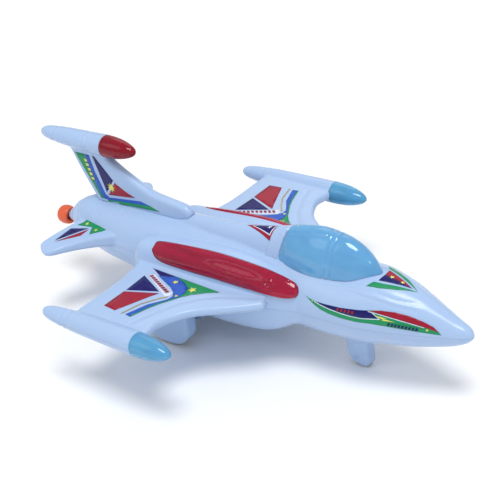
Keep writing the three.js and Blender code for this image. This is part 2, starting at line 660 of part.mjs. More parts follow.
// ---------- pull-cord drive ----------
function gearShape(teeth, bore, phase) {
  const pitch = teeth * GEAR_MODULE / 2;
  const root = pitch - 1.2 * GEAR_MODULE;
  const tip = pitch + 0.8 * GEAR_MODULE;
  const step = 2 * Math.PI / teeth;
  const points = [];
  for (let tooth = 0; tooth < teeth; tooth += 1) {
    const middle = phase + tooth * step;
    for (const [radius, share] of [[root, -0.26], [tip, -0.1], [tip, 0.1], [root, 0.26]]) {
      const angle = middle + share * step;
      points.push(new THREE.Vector2(radius * Math.cos(angle), radius * Math.sin(angle)));
    }
  }
  const shape = new THREE.Shape(points);
  const hole = new THREE.Path();
  hole.absarc(0, 0, bore, 0, 2 * Math.PI, true);
  shape.holes.push(hole);
  return shape;
}

function gear(teeth, bore, phase, centre) {
  return plateXZ(gearShape(teeth, bore, phase), GEAR_Y, GEAR_Y + GEAR_WIDTH)
    .translate([centre.x, 0, centre.z]);
}

function directionTo(from, to) {
  return Math.atan2(to.z - from.z, to.x - from.x);
}

function gearTrain() {
  const towardAxle = directionTo(SPOOL, REAR_AXLE);
  const towardFlywheel = directionTo(SPOOL, FLYWHEEL);
  const ratchet = gear(RATCHET_TEETH, 1.8, towardAxle, SPOOL);
  addPiece("ratchet_gear", ratchet, "acetal");
  const pinionPhase = towardAxle + Math.PI + Math.PI / PINION_TEETH;
  addPiece("axle_pinion", gear(PINION_TEETH, 1.5, pinionPhase, REAR_AXLE), "acetal");
  const ratchetStep = 2 * Math.PI / RATCHET_TEETH;
  const lead = (towardFlywheel - towardAxle) / ratchetStep;
  const offset = (Math.round(lead) - lead) * ratchetStep;
  const flywheelPhase = towardFlywheel + Math.PI + Math.PI / FLYWHEEL_TEETH
    - offset * RATCHET_TEETH / FLYWHEEL_TEETH;
  const wheel = turnedY(ring(1.2, 8.2, 10, 13.6), FLYWHEEL.x, FLYWHEEL.z, 28);
  const hub = turnedY(ring(1.2, 2.6, 9.2, 10.5), FLYWHEEL.x, FLYWHEEL.z, 14);
  addPiece("flywheel", wheel.add(hub), "steel");
  addPiece("flywheel_pinion", gear(FLYWHEEL_TEETH, 1.2, flywheelPhase, FLYWHEEL)
    .translate([0, -GAP, 0]), "acetal");
  addPiece("flywheel_shaft", turnedY(rod(0.9, -16, 16), FLYWHEEL.x, FLYWHEEL.z, 10), "steel");
}

function spool() {
  const flange = 13;
  const profile = [[1.8, -4.4], [flange, -4.4], [flange, -3.4], [DRUM_RADIUS, -3.4], [DRUM_RADIUS, 3.4],
    [flange, 3.4], [flange, 4.4], [1.8, 4.4], [1.8, -4.4]];
  addPiece("cord_spool", turnedY(profile, SPOOL.x, SPOOL.z, 20), "acetal");
  addPiece("cord_winding", turnedY(ring(DRUM_RADIUS + GAP, DRUM_RADIUS + GAP + 2 * CORD_RADIUS, -3.1, 3.1),
    SPOOL.x, SPOOL.z, 20), "cord");
  addPiece("spool_shaft", turnedY(rod(1.5, -16, 16), SPOOL.x, SPOOL.z, 12), "steel");
  const pawl = outlineShape([[4.2, 2], [9.4, 0.6], [10.2, 3], [6, 5.4]]);
  addPiece("ratchet_pawl", plateXZ(pawl, 4.7, 6.2).translate([SPOOL.x, 0, SPOOL.z]), "steel");
  const cup = [
    [2.2, -13.6], [11.6, -13.6], [11.6, -5.2], [10.8, -5.2], [10.8, -12.8], [2.2, -12.8], [2.2, -13.6],
  ];
  addPiece("spring_cup", turnedY(cup, SPOOL.x, SPOOL.z, 20), "blackPlastic");
  const turns = 3;
  const coil = [];
  for (let k = 0; k <= turns * 10; k += 1) {
    const angle = k / 10 * 2 * Math.PI;
    const radius = 2.6 + k / (turns * 10) * 7.4;
    coil.push(new THREE.Vector3(radius * Math.cos(angle), -9, radius * Math.sin(angle)));
  }
  const band = outlineShape([[-2.6, -0.2], [2.6, -0.2], [2.6, 0.2], [-2.6, 0.2]]);
  const geometry = new THREE.ExtrudeGeometry(band, {
    extrudePath: new THREE.CatmullRomCurve3(coil), steps: turns * 14, bevelEnabled: false,
  });
  addPiece("recoil_spring", solid(geometry.translate(SPOOL.x, 0, SPOOL.z)), "steel");
}

function gearbox() {
  const holes = joined(
    turnedY(rod(1.8, -20, 20), SPOOL.x, SPOOL.z, 14),
    turnedY(rod(1.5, -20, 20), REAR_AXLE.x, REAR_AXLE.z, 14),
    turnedY(rod(1.2, -20, 20), FLYWHEEL.x, FLYWHEEL.z, 12),
  );
  const outline = outlineShape(PLATE_OUTLINE);
  const left = plateXZ(outline, PLATE_INNER_Y, PLATE_INNER_Y + PLATE_THICKNESS);
  const right = plateXZ(outline, -PLATE_INNER_Y - PLATE_THICKNESS, -PLATE_INNER_Y);
  const spacers = joined(...[[-40, 46.4], [-22, 46.6], [-12, 23]]
    .map(([x, z]) => turnedY(rod(1.8, -PLATE_INNER_Y - 0.5, PLATE_INNER_Y - GAP), x, z, 10)));
  addPiece("gearbox_left_plate", left.subtract(holes), "blackPlastic");
  addPiece("gearbox_right_plate", right.add(spacers).subtract(holes), "blackPlastic");
}

function rearWheels() {
  addPiece("rear_axle", turnedY(rod(1.2, -35.6, 35.6), REAR_AXLE.x, REAR_AXLE.z, 12), "steel");
  const rim = REAR_WHEEL_RADIUS;
  const tread = [[1.5, 30.8], [4, 30.8], [5, 31.8], [rim - 4, 31.8], [rim - 3, 30.8], [rim - 0.6, 30.8],
    [rim, 31.4], [rim, 34.6], [rim - 0.6, 35.2], [rim - 3, 35.2], [rim - 4, 34.2], [5, 34.2], [4, 35.2],
    [1.5, 35.2], [1.5, 30.8]];
  const mirrored = tread.map(([r, a]) => [r, -a]).reverse();
  addPiece("rear_wheel_left", turnedY(tread, REAR_AXLE.x, REAR_AXLE.z, 24), "blackPlastic");
  addPiece("rear_wheel_right", turnedY(mirrored, REAR_AXLE.x, REAR_AXLE.z, 24), "blackPlastic");
}

function noseWheel() {
  addPiece("nose_axle", turnedY(rod(0.8, -3.4, 3.4), NOSE_AXLE.x, NOSE_AXLE.z, 10), "steel");
  const side = NOSE_WHEEL_RADIUS - 0.6;
  const profile = [[1.1, -1.8], [side, -1.8], [NOSE_WHEEL_RADIUS, -1.2], [NOSE_WHEEL_RADIUS, 1.2],
    [side, 1.8], [1.1, 1.8], [1.1, -1.8]];
  addPiece("nose_wheel", turnedY(profile, NOSE_AXLE.x, NOSE_AXLE.z, 24), "blackPlastic");
}

function pull() {
  const { x, radius, half } = KNOB;
  const front = x + half;
  const profile = [[0, x - half], [2.4, x - half + 0.3], [4.6, x - half + 1.5], [5.9, x - 1.2],
    [radius, x + 1], [5.9, x + 3], [5, front], [3.4, front - 0.6], [2.6, x + 0.6], [0, x + 0.4]];
  addPiece("pull_knob", turnedX(profile, 0, KNOB.z, 18), "orangePlastic");
  addPiece("tail_eyelet", turnedX(ring(1.1, 1.6, -136, -126), 0, TAIL_HOLE_Z, 12), "steel");
  const start = [SPOOL.x - 1, 0, SPOOL.z + DRUM_RADIUS + GAP + 3 * CORD_RADIUS + GAP];
  wire("pull_cord", [start, [-80, 0, TAIL_HOLE_Z], [-122, 0, TAIL_HOLE_Z], [-132, 0, TAIL_HOLE_Z],
    [x + 1.2, 0, TAIL_HOLE_Z]], CORD_RADIUS);
}

airframe();
fin();
canopy();
cockpit();
lenses();
lights();
batteries();
gearTrain();
spool();
gearbox();
rearWheels();
noseWheel();
pull();
fasteners();

export default airplane;
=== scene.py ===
import math

import bmesh
import bpy
import numpy as np
from mathutils import Matrix, Vector
from mathutils.bvhtree import BVHTree


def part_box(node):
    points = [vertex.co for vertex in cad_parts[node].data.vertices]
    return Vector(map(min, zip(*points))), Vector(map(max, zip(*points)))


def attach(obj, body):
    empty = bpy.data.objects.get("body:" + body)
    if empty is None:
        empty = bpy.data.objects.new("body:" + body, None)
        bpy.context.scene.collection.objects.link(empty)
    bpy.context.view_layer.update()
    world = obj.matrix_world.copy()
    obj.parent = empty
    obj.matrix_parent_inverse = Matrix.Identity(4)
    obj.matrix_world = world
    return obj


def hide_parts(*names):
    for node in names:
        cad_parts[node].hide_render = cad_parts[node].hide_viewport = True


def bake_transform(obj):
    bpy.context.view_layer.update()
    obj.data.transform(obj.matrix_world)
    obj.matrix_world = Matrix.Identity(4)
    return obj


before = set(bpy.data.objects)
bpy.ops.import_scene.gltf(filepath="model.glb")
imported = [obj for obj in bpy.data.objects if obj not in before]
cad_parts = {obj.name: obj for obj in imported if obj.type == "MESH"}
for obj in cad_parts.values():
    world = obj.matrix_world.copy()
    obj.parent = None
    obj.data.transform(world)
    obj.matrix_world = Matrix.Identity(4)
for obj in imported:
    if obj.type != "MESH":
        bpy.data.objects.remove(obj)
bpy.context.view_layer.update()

# Looks of the pull-cord toy jet. The tables are in millimetres, in the CAD frame:
# +X to the nose, +Y to the left wing, +Z up, with the ground at z = 0.
MM = 0.001
WALL = 1.8
# Between touching pieces, and between the two shells along their parting line
GAP = 0.3
SEAM = 0.1
SIDES = (("left", 1), ("right", -1))

WING_TOP, WING_BOTTOM = 46.8, 41.5
POD_Y, POD_Z, POD_REAR, POD_LENS_X, POD_RADIUS = 88.2, 43, -69.5, 0.8, 6.65
FIN_POD_Z, FIN_POD_REAR, FIN_POD_LENS_X, FIN_THICKNESS = 97.3, -146, -92, 6.4
FIN_FOOT_REAR, FIN_FOOT_FRONT, FIN_FOOT_HALF = -92, -64, 2.6
STABILISER_TOP, STABILISER_BOTTOM, STABILISER_FALL = 53.2, 42.4, 0.155
FRONT_PARTING, WING_PARTING, TAIL_PARTING = 39.2, 43, 43.8
PARTING_STEP_X, PARTING_STEP_Y = -57, 27.5
REAR_AXLE_X, REAR_AXLE_Z, REAR_WHEEL_RADIUS = -33, 15, 15
SPAT_INNER_Y, SPAT_OUTER_Y, SPAT_BOTTOM, SPAT_HALF_LENGTH = 28, 38, 1.2, 18
NOSE_AXLE_X, NOSE_AXLE_Z, NOSE_WHEEL_RADIUS = 76, 5, 5
KNOB_X, KNOB_Z, KNOB_RADIUS, KNOB_HALF = -142.6, 39.8, 5.9, 4.8
TAIL_HOLE_Z = 41.2
BELLY_Z = 14.2
DOOR_X0, DOOR_X1, DOOR_HALF = -11, 22, 11
CANOPY_REAR, CANOPY_LEAN, CANOPY_FOOT = 36.5, 0.22, 60
SCREWS = [[104, 0], [52, 13], [52, -13], [-72, 10], [-72, -10], [-110, 7.5], [-110, -7.5]]
POST_RADIUS, SCREW_HEAD_RADIUS, SCREW_RADIUS, SCREW_REACH = 3.4, 2.7, 1.2, 8
LAMP_BORE_RADIUS = 4.2

# Fuselage: x, half width, top, widest height, bottom
FUSELAGE = [
    [-138.5, 0, 41.2, 41.2, 41.2], [-137, 2.7, 44, 41.4, 38.7], [-131, 5.6, 49.2, 43, 37.2],
    [-124, 10.1, 55, 44.1, 34], [-112, 14.7, 60, 44.5, 30.2], [-98, 17.5, 60.8, 43.5, 25.2],
    [-80, 19.5, 61.5, 43, 22.8], [-60, 21, 62, 42.5, 20.6], [-20, 22, 62.5, 42, 19.5],
    [40, 22, 62.5, 42, 19.5], [62, 22.4, 63, 42, 19.5], [80, 21.7, 62, 42, 20.2],
    [91, 20.9, 62.4, 41.8, 21.2], [100, 18.6, 61.2, 41.4, 23.3], [110, 15.9, 58.8, 40.3, 24.9],
    [120, 12.7, 55, 39.1, 26.9], [130, 9.3, 50.2, 38.5, 29.5], [138, 6.5, 46.2, 38.5, 32],
    [144, 4.1, 43.6, 39.2, 35], [146.6, 1.7, 41.2, 39.3, 37.5], [147.4, 0, 39.3, 39.3, 39.3],
]
# Hump behind the canopy, and the canopy: x, half width, top, base. The base lies inside the fuselage
HUMP = [
    [-46, 4, 62.4, 50], [-36, 7, 65.2, 50], [-18, 8.6, 67.4, 50], [6, 9.4, 68.8, 50],
    [22, 10.4, 71.2, 50], [36.2, 11.4, 74.8, 50], [44, 13, 77, 50],
]
CANOPY = [
    [36.5, 11.4, 75.2, 50], [46, 13.6, 78, 50], [58, 14.8, 79.8, 50], [68, 14.2, 79.4, 50],
    [77, 12.6, 77.8, 50], [84, 10.8, 74.6, 50], [90, 7.8, 69.8, 50], [94.5, 4.6, 63.8, 50],
    [96.8, 1.6, 60.4, 50],
]
# Nacelle beside the cockpit: x, centre y, half width, top, widest height, bottom
NACELLE = [
    [-58.4, 17, 3, 46, 40, 36], [-57.9, 17, 8, 52, 40, 24], [-56, 17, 11, 55, 40, 18.6],
    [-51, 17, 12.1, 56.9, 40, 16.4], [-33, 17, 12.4, 58.4, 40, 15.4], [0, 17, 12.6, 61, 40, 14.8],
    [24, 17, 11.8, 60.4, 40, 17], [36, 16.5, 10.6, 58.8, 40, 20.4], [47, 15.5, 9.1, 56, 40.5, 26],
    [58, 14, 7, 52.6, 41, 31], [66, 11, 4, 48.5, 42, 36],
]
# Side lens: x, half width across its slope, rise at the crown; and its line: x, y, z
SIDE_LENS = [
    [-46.3, 0.6, 0.4], [-44.4, 3.8, 1.6], [-38.6, 5.6, 2.6], [-22, 6.6, 3], [4, 7, 3.2],
    [28, 6.8, 3.1], [42, 6.2, 2.8], [50, 5, 2.3], [54, 3.2, 1.5], [55.6, 0.6, 0.4],
]
SIDE_LENS_LINE = [
    [-46.3, 23.9, 52.6], [-22, 24.3, 54.4], [4, 24.5, 55.6], [28, 24, 54.8], [44, 22.4, 52.8],
    [55.6, 20.8, 51],
]
LENS_DEPTH = 2.6
SIDE_LENS_TILT = math.radians(52)

# Outlines seen from above: x, y
WING_TRAILING = [[-54, 14], [-52.6, 26], [-50.4, 36], [-48.4, 48], [-48.2, 66], [-48.8, 86]]
WING_LEADING = [
    [2.6, 86], [2, 79.3], [0.9, 72], [3.3, 65.5], [7, 59.2], [12.5, 53.4], [21, 47.4],
    [38.5, 34.6], [40.5, 31], [38, 26], [30, 14],
]
STABILISER = [
    [-111, 6], [-112.6, 12], [-114.4, 16.4], [-116.5, 22.5], [-119.4, 31.8], [-121, 39.5],
    [-119.9, 42.4], [-116, 45.2], [-111.6, 46.4], [-108, 44.4], [-103.4, 38.6], [-97.5, 32.2],
    [-89.4, 25], [-79, 18.4], [-70, 12], [-70, 6],
]
# Outlines seen from the side: x, z
FIN_TRAILING = [[-123.5, 94], [-121.4, 91], [-115.9, 78.3], [-107.9, 62.7], [-105.5, 57]]
FIN_LEADING = [
    [-32, 57], [-31.4, 66.4], [-34, 69.8], [-38, 71.2], [-49, 72.5], [-59.5, 74], [-66.4, 76.6],
    [-73.6, 79.8], [-81.6, 83.9], [-90.4, 89.6], [-93, 95],
]
FIN_CHANNEL = [[-111, 98], [-92, 67], [-86, 50], [-74, 50], [-74, 68], [-98, 98]]
NOSE_LEG = [
    [68, 30], [69.4, 15.2], [69.7, 8], [71.2, 4], [74.4, 1.4], [78.4, 0.3], [81.8, 0.9],
    [83.2, 3.4], [83.4, 7.4], [83.3, 14], [84.8, 30],
]
BELLY = [[-56, 16], [-54.6, BELLY_Z], [25, BELLY_Z], [31, 16], [41, 21.5], [50, 30], [-56, 30]]
WELL = [[-48, 22], [-47.4, 10], [-45, 7.4], [-23.6, 7.4], [-20.4, 10], [-18, 22]]
# Turned profiles: radius, distance
POD_PROFILE = [[0, 0], [1.7, 0.4], [3, 2.4], [4.1, 6.6], [5.1, 16], [5.9, 31]]
LENS_PROFILE = [[6.65, 0], [6.45, 5.2], [5.8, 11], [4.5, 16.4], [2.5, 21], [0, 23.2]]
LENS_HOLLOW = [[5.3, 0], [5.1, 5.4], [4.5, 10.8], [3.2, 15.8], [1.4, 19.8], [0, 21.2]]


# ---------- curves and surfaces ----------
def smooth_rows(table, steps):
    """The table's rows with a smooth curve through them, steps rows for each one."""
    rows = np.array(table, float)
    last = len(rows) - 1
    out = []
    for first in range(last):
        a, b, c, d = (rows[min(max(first + k, 0), last)] for k in (-1, 0, 1, 2))
        for t in np.arange(steps) / steps:
            slope_b, slope_c = (c - a) / 2, (d - b) / 2
            out.append((2 * t ** 3 - 3 * t ** 2 + 1) * b + (t ** 3 - 2 * t ** 2 + t) * slope_b
                       + (3 * t ** 2 - 2 * t ** 3) * c + (t ** 3 - t ** 2) * slope_c)
    out.append(rows[last])
    return np.array(out)


def row_at(table, x):
    """The table's row at x, on straight lines between its rows."""
    rows = np.array(table, float)
    return np.array([np.interp(x, rows[:, 0], rows[:, k]) for k in range(rows.shape[1])])


def new_object(name, points, faces):
    """A clean mesh object from points in millimetres, with its faces pointing out."""
    mesh = bpy.data.meshes.new(name)
    mesh.from_pydata((np.asarray(points, float) * MM).tolist(), [], faces)
    obj = bpy.data.objects.new(name, mesh)
    bpy.context.scene.collection.objects.link(obj)
    bm = bmesh.new()
    bm.from_mesh(mesh)
    bmesh.ops.remove_doubles(bm, verts=bm.verts, dist=1e-6)
    bmesh.ops.dissolve_degenerate(bm, edges=bm.edges, dist=1e-7)
    bmesh.ops.recalc_face_normals(bm, faces=bm.faces)
    bm.to_mesh(mesh)
    bm.free()
    return obj


def grid_faces(rows, columns, closed_rows=False):
    faces = []
    for i in range(rows if closed_rows else rows - 1):
        for j in range(columns):
            a, b = i * columns + j, i * columns + (j + 1) % columns
            c, d = ((i + 1) % rows) * columns + (j + 1) % columns, ((i + 1) % rows) * columns + j
            faces.append((a, b, c, d))
    return faces


def skin(name, rings):
    """A closed body through equal rings of points, with a flat cap on each end."""
    rings = np.asarray(rings)
    rows, columns = rings.shape[:2]
    caps = [tuple(range(columns))[::-1], tuple((rows - 1) * columns + k for k in range(columns))]
    return new_object(name, rings.reshape(-1, 3), grid_faces(rows, columns) + caps)


def signed_power(value, power):
    return np.sign(value) * np.abs(value) ** (2 / power)


def ovals(x, y, half, top, middle, bottom, around, power_top=2.0):
    """Rings across X, oval below their widest height, and squarer above it as power_top grows."""
    angle = np.arange(around) / around * 2 * math.pi
    upper = np.sin(angle) > 0
    power = np.where(upper, power_top, 2.0)
    side, rise = signed_power(np.cos(angle), power), signed_power(np.sin(angle), power)
    height = np.where(upper[None, :], (top - middle)[:, None], (middle - bottom)[:, None])
    return np.stack([
        np.repeat(x[:, None], around, 1),
        np.asarray(y)[:, None] + half[:, None] * side[None, :],
        middle[:, None] + height * rise[None, :],
    ], -1)


def fuselage(offset=0.0, around=96, steps=7):
    x, half, top, middle, bottom = smooth_rows(FUSELAGE, steps).T
    grow = np.where(half > 0.5, np.maximum(offset, -half * 0.8), 0)
    return skin("fuselage", ovals(x, 0 * x, np.maximum(half + grow, 0.01), top + grow, middle,
                                  bottom - grow, around))


def hump(table, offset=0.0, around=96, steps=8):
    x, half, top, base = smooth_rows(table, steps).T
    return skin("hump", ovals(x, 0 * x, half + offset, top + offset, base, base - 4, around))


def nacelle(side, offset=0.0):
    x, y, half, top, middle, bottom = smooth_rows(NACELLE, 6).T
    return skin("nacelle", ovals(x, side * y, half + offset, top + offset, middle, bottom - offset,
                                 64, power_top=2.6))


def side_lens_form(side, grow, depth, around=40, steps=8):
    """The side lens as a solid, grown all round, and reaching depth below its rim."""
    x, half, crown = smooth_rows(SIDE_LENS, steps).T
    line = np.array([row_at(SIDE_LENS_LINE, value) for value in x])
    angle = side * np.arange(around) / around * 2 * math.pi
    lift = np.sin(angle)
    ridge = 0.7 * lift + 0.3 * (1 - np.abs(np.cos(angle)))
    height = np.where(lift > 0, (crown + grow)[:, None] * ridge, depth * lift)
    width = np.maximum(half + grow, 0.2)[:, None] * np.cos(angle)
    tilt_y, tilt_z = math.cos(SIDE_LENS_TILT), math.sin(SIDE_LENS_TILT)
    rings = np.stack([
        np.repeat(x[:, None], around, 1),
        side * (line[:, 1:2] + width * tilt_y + height * tilt_z),
        line[:, 2:3] - width * tilt_z + height * tilt_y,
    ], -1)
    return skin("side_lens", rings)


def inset(outline, distance):
    """The closed outline moved inward, each point square to the run of its neighbours."""
    points = np.asarray(outline, float)
    ahead, behind = np.roll(points, -1, 0) - points, points - np.roll(points, 1, 0)
    ahead /= np.linalg.norm(ahead, axis=1)[:, None]
    behind /= np.linalg.norm(behind, axis=1)[:, None]
    tangent = ahead + behind
    tangent /= np.maximum(np.linalg.norm(tangent, axis=1), 1e-6)[:, None]
    area = np.sum(points[:, 0] * np.roll(points[:, 1], -1) - np.roll(points[:, 0], -1) * points[:, 1])
    normal = np.stack([-tangent[:, 1], tangent[:, 0]], -1) * np.sign(area)
    return points + normal * distance


def plate(name, outline, plane, low, high, edge=0.0):
    """A flat plate across Z (plane "xy") or across Y (plane "xz"), with edges rounded by edge."""
    levels = [(0, low), (0, high)]
    if edge:
        turns = np.linspace(0, math.pi / 2, 5)
        levels = [(edge * (1 - math.sin(t)), low + edge * (1 - math.cos(t))) for t in turns]
        levels += [(edge * (1 - math.cos(t)), high - edge * (1 - math.sin(t))) for t in turns]
    rings = []
    for distance, level in levels:
        flat = inset(outline, distance)
        column = np.full(len(flat), level)
        order = (flat[:, 0], flat[:, 1], column) if plane == "xy" else (flat[:, 0], column, flat[:, 1])
        rings.append(np.stack(order, -1))
    return skin(name, rings)


def turned(name, profile, axis, centre, segments=72):
    """A body turned about an axis: the profile's points are radius, distance along the axis."""
    rows = np.array(profile, float)
    closed = np.allclose(rows[0], rows[-1])
    rows = rows[:-1] if closed else rows
    angle = np.arange(segments) / segments * 2 * math.pi
    across, up = rows[:, :1] * np.cos(angle), rows[:, :1] * np.sin(angle)
    along = np.repeat(rows[:, 1:2], segments, 1)
    a, b = centre
    order = {"x": (along, across + a, up + b), "y": (across + a, along, up + b),
             "z": (across + a, up + b, along)}[axis]
    points = np.stack(order, -1).reshape(-1, 3)
    return new_object(name, points, grid_faces(len(rows), segments, closed))


def rod(radius, low, high):
    return [[0, low], [radius, low], [radius, high], [0, high]]


def box(low, high):
    corners = [[low[0], low[1]], [high[0], low[1]], [high[0], high[1]], [low[0], high[1]]]
    return plate("box", corners, "xy", low[2], high[2])


def remove(*objects):
    for obj in objects:
        mesh = obj.data
        bpy.data.objects.remove(obj)
        bpy.data.meshes.remove(mesh)


def apply_modifiers(obj):
    bpy.context.view_layer.update()
    evaluated = obj.evaluated_get(bpy.context.evaluated_depsgraph_get())
    mesh = bpy.data.meshes.new_from_object(evaluated)
    obj.modifiers.clear()
    old, obj.data = obj.data, mesh
    bpy.data.meshes.remove(old)
    return obj


def combine(obj, operation, *others):
    for other in others:
        change = obj.modifiers.new("combine", "BOOLEAN")
        change.operation, change.object, change.solver = operation, other, "MANIFOLD"
        apply_modifiers(obj)
    remove(*others)
    return obj


def cut(obj, *others):
    return combine(obj, "DIFFERENCE", *others)


def copy_of(obj):
    twin = obj.copy()
    twin.data = obj.data.copy()
    bpy.context.scene.collection.objects.link(twin)
    return twin


def melted(name, parts, voxel, smoothing):
    """One continuous body from overlapping ones, with small moulded fillets where they meet."""
    bm = bmesh.new()
    for part in parts:
        bm.from_mesh(part.data)
    mesh = bpy.data.meshes.new(name)
    bm.to_mesh(mesh)
    bm.free()
    remove(*parts)
    obj = bpy.data.objects.new(name, mesh)
    bpy.context.scene.collection.objects.link(obj)
    remesh = obj.modifiers.new("remesh", "REMESH")
    remesh.mode, remesh.voxel_size = "VOXEL", voxel * MM
    if smoothing:
        soften = obj.modifiers.new("soften", "SMOOTH")
        soften.factor, soften.iterations = 0.5, smoothing
    return apply_modifiers(obj)


def coordinates(obj):
    mesh = obj.data
    points = np.empty(len(mesh.vertices) * 3)
    normals = np.empty(len(mesh.vertices) * 3)
    mesh.vertices.foreach_get("co", points)
    mesh.vertex_normals.foreach_get("vector", normals)
    return points.reshape(-1, 3) / MM, normals.reshape(-1, 3)


def emboss(obj, height):
    """Moves the surface along its normals by height(points, normals), in millimetres."""
    points, normals = coordinates(obj)
    moved = points + normals * height(points, normals)[:, None]
    obj.data.vertices.foreach_set("co", (moved * MM).ravel())
    obj.data.update()
    return obj


def bump(distance, width):
    return np.exp(-(distance / width) ** 2)


def step_up(value, start, end):
    t = np.clip((value - start) / (end - start), 0, 1)
    return t * t * (3 - 2 * t)


def line_distance(points, line):
    """Distance from flat points to a line of flat points."""
    best = np.full(len(points), 1e9)
    line = np.asarray(line, float)
    for a, b in zip(line[:-1], line[1:]):
        run = b - a
        t = np.clip(((points - a) @ run) / (run @ run), 0, 1)
        best = np.minimum(best, np.linalg.norm(points - a - t[:, None] * run, axis=1))
    return best


def finish_surface(obj, angle):
    obj.data.shade_smooth()
    obj.data.set_sharp_from_angle(angle=math.radians(angle))
    return obj


# ---------- materials ----------
def colour(red, green, blue):
    """A colour from its sRGB values, 0 to 255."""
    parts = [v / 255 for v in (red, green, blue)]
    return tuple(v / 12.92 if v <= 0.04045 else ((v + 0.055) / 1.055) ** 2.4 for v in parts) + (1,)


def material(name, base, roughness, depth, spread=0.06, shade=0.06, grain=900.0, large=40.0,
             stretch=1.0, **sockets):
    """Moulded material: cloudy colour, uneven gloss and a fine surface texture, all from noise.

    The clouds are drawn out along X by stretch, as flow lines.
    """
    made = bpy.data.materials.new(name)
    made.use_nodes = True
    nodes, links = made.node_tree.nodes, made.node_tree.links
    shader = nodes["Principled BSDF"]
    place = nodes.new("ShaderNodeTexCoord")
    cloud = nodes.new("ShaderNodeTexNoise")
    cloud.inputs["Scale"].default_value = large
    cloud.inputs["Detail"].default_value = 3
    fine = nodes.new("ShaderNodeTexNoise")
    fine.inputs["Scale"].default_value = grain
    fine.inputs["Detail"].default_value = 2
    flow = nodes.new("ShaderNodeMapping")
    flow.inputs["Scale"].default_value = (1 / stretch, 1, 1)
    links.new(place.outputs["Object"], flow.inputs["Vector"])
    links.new(flow.outputs["Vector"], cloud.inputs["Vector"])
    links.new(place.outputs["Object"], fine.inputs["Vector"])
    tone = nodes.new("ShaderNodeMix")
    tone.data_type = "RGBA"
    tone.inputs["A"].default_value = tuple(v * (1 - shade) for v in base[:3]) + (1,)
    tone.inputs["B"].default_value = tuple(min(v * (1 + shade), 1) for v in base[:3]) + (1,)
    links.new(cloud.outputs["Fac"], tone.inputs["Factor"])
    links.new(tone.outputs["Result"], shader.inputs["Base Color"])
    gloss = nodes.new("ShaderNodeMapRange")
    gloss.inputs["To Min"].default_value = max(roughness - spread, 0.02)
    gloss.inputs["To Max"].default_value = roughness + spread
    links.new(cloud.outputs["Fac"], gloss.inputs["Value"])
    links.new(gloss.outputs["Result"], shader.inputs["Roughness"])
    relief = nodes.new("ShaderNodeBump")
    relief.inputs["Strength"].default_value = depth
    relief.inputs["Distance"].default_value = 0.0004
    links.new(fine.outputs["Fac"], relief.inputs["Height"])
    links.new(relief.outputs["Normal"], shader.inputs["Normal"])
    for socket, value in sockets.items():
        shader.inputs[socket.replace("_", " ")].default_value = value
    return made


WHITE = material("white_abs", colour(167, 193, 229), 0.25, 0.012, shade=0.03, Coat_Weight=0.1,
                 Coat_Roughness=0.1, Specular_IOR_Level=0.35, Subsurface_Weight=0.08,
                 Subsurface_Scale=0.002)
BLUE_CLEAR = material("blue_clear", colour(116, 192, 255), 0.06, 0.01, spread=0.03, shade=0.2,
                      large=110, stretch=2, Transmission_Weight=0.36, IOR=1.46, Coat_Weight=0.4,
                      Coat_Roughness=0.05)
LENS_BLUE = material("lens_blue", colour(112, 196, 255), 0.06, 0.01, spread=0.03, shade=0.25,
                     large=220, stretch=4, Transmission_Weight=0.5, IOR=1.46)
RED_CLEAR = material("red_clear", colour(234, 22, 84), 0.07, 0.01, spread=0.03, shade=0.4,
                     large=260, stretch=8, Transmission_Weight=0.66, IOR=1.46, Specular_IOR_Level=0.5)
FIN_RED = material("fin_red", colour(180, 4, 44), 0.08, 0.01, spread=0.03, shade=0.3,
                   large=260, stretch=5, Transmission_Weight=0.6, IOR=1.46, Specular_IOR_Level=0.25)
ORANGE = material("orange_plastic", colour(222, 94, 54), 0.35, 0.05, shade=0.08)
BLACK = material("black_plastic", colour(38, 39, 44), 0.5, 0.12, shade=0.15)
ACETAL = material("acetal", colour(228, 224, 208), 0.42, 0.04, shade=0.05, Subsurface_Weight=0.1,
                  Subsurface_Scale=0.002)
STEEL = material("steel", colour(176, 180, 186), 0.28, 0.05, spread=0.12, shade=0.12, grain=2600,
                 Metallic=1.0)
CORD = material("cord", colour(240, 240, 234), 0.75, 0.4, shade=0.08, grain=1800)
BOARD = material("board", colour(44, 104, 58), 0.45, 0.15, shade=0.2, grain=500)
WIRE = material("wire", colour(176, 48, 48), 0.45, 0.08, shade=0.1)
LED = material("clear_led", colour(250, 250, 244), 0.08, 0.01, Transmission_Weight=0.85)


def ink(name, red, green, blue):
    return material("ink_" + name, colour(red, green, blue), 0.3, 0.03, spread=0.05, shade=0.08,
                    grain=1600, large=90, Specular_IOR_Level=0.3)


NAVY = ink("navy", 16, 12, 96)
ROYAL = ink("royal", 38, 88, 190)
GREEN = ink("green", 22, 142, 90)
RED = ink("red", 154, 20, 46)
YELLOW = ink("yellow", 226, 226, 110)
GOLD = ink("gold", 190, 160, 60)
PAPER = ink("paper", 214, 224, 248)


def dress(obj, finish):
    obj.data.materials.clear()
    obj.data.materials.append(finish)
    return obj


def place(obj, name, finish, slot, body="airframe", stands_for=(), angle=38):
    obj.name = obj.data.name = name
    finish_surface(obj, angle)
    dress(obj, finish)
    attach(obj, body)
    if stands_for:
        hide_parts(*stands_for)
    return obj


# ---------- shells ----------
def both(outline):
    return [outline, [[x, -y] for x, y in outline][::-1]]


def housing_outline():
    top, squareness = WING_BOTTOM + 1.2, 2.8
    angle = math.pi + np.linspace(0, math.pi, 40)
    x = REAR_AXLE_X + SPAT_HALF_LENGTH * signed_power(np.cos(angle), squareness)
    z = SPAT_BOTTOM + SPAT_HALF_LENGTH * (1 + signed_power(np.sin(angle), squareness))
    return [[x[0], top], *np.stack([x, z], -1).tolist(), [x[-1], top]]


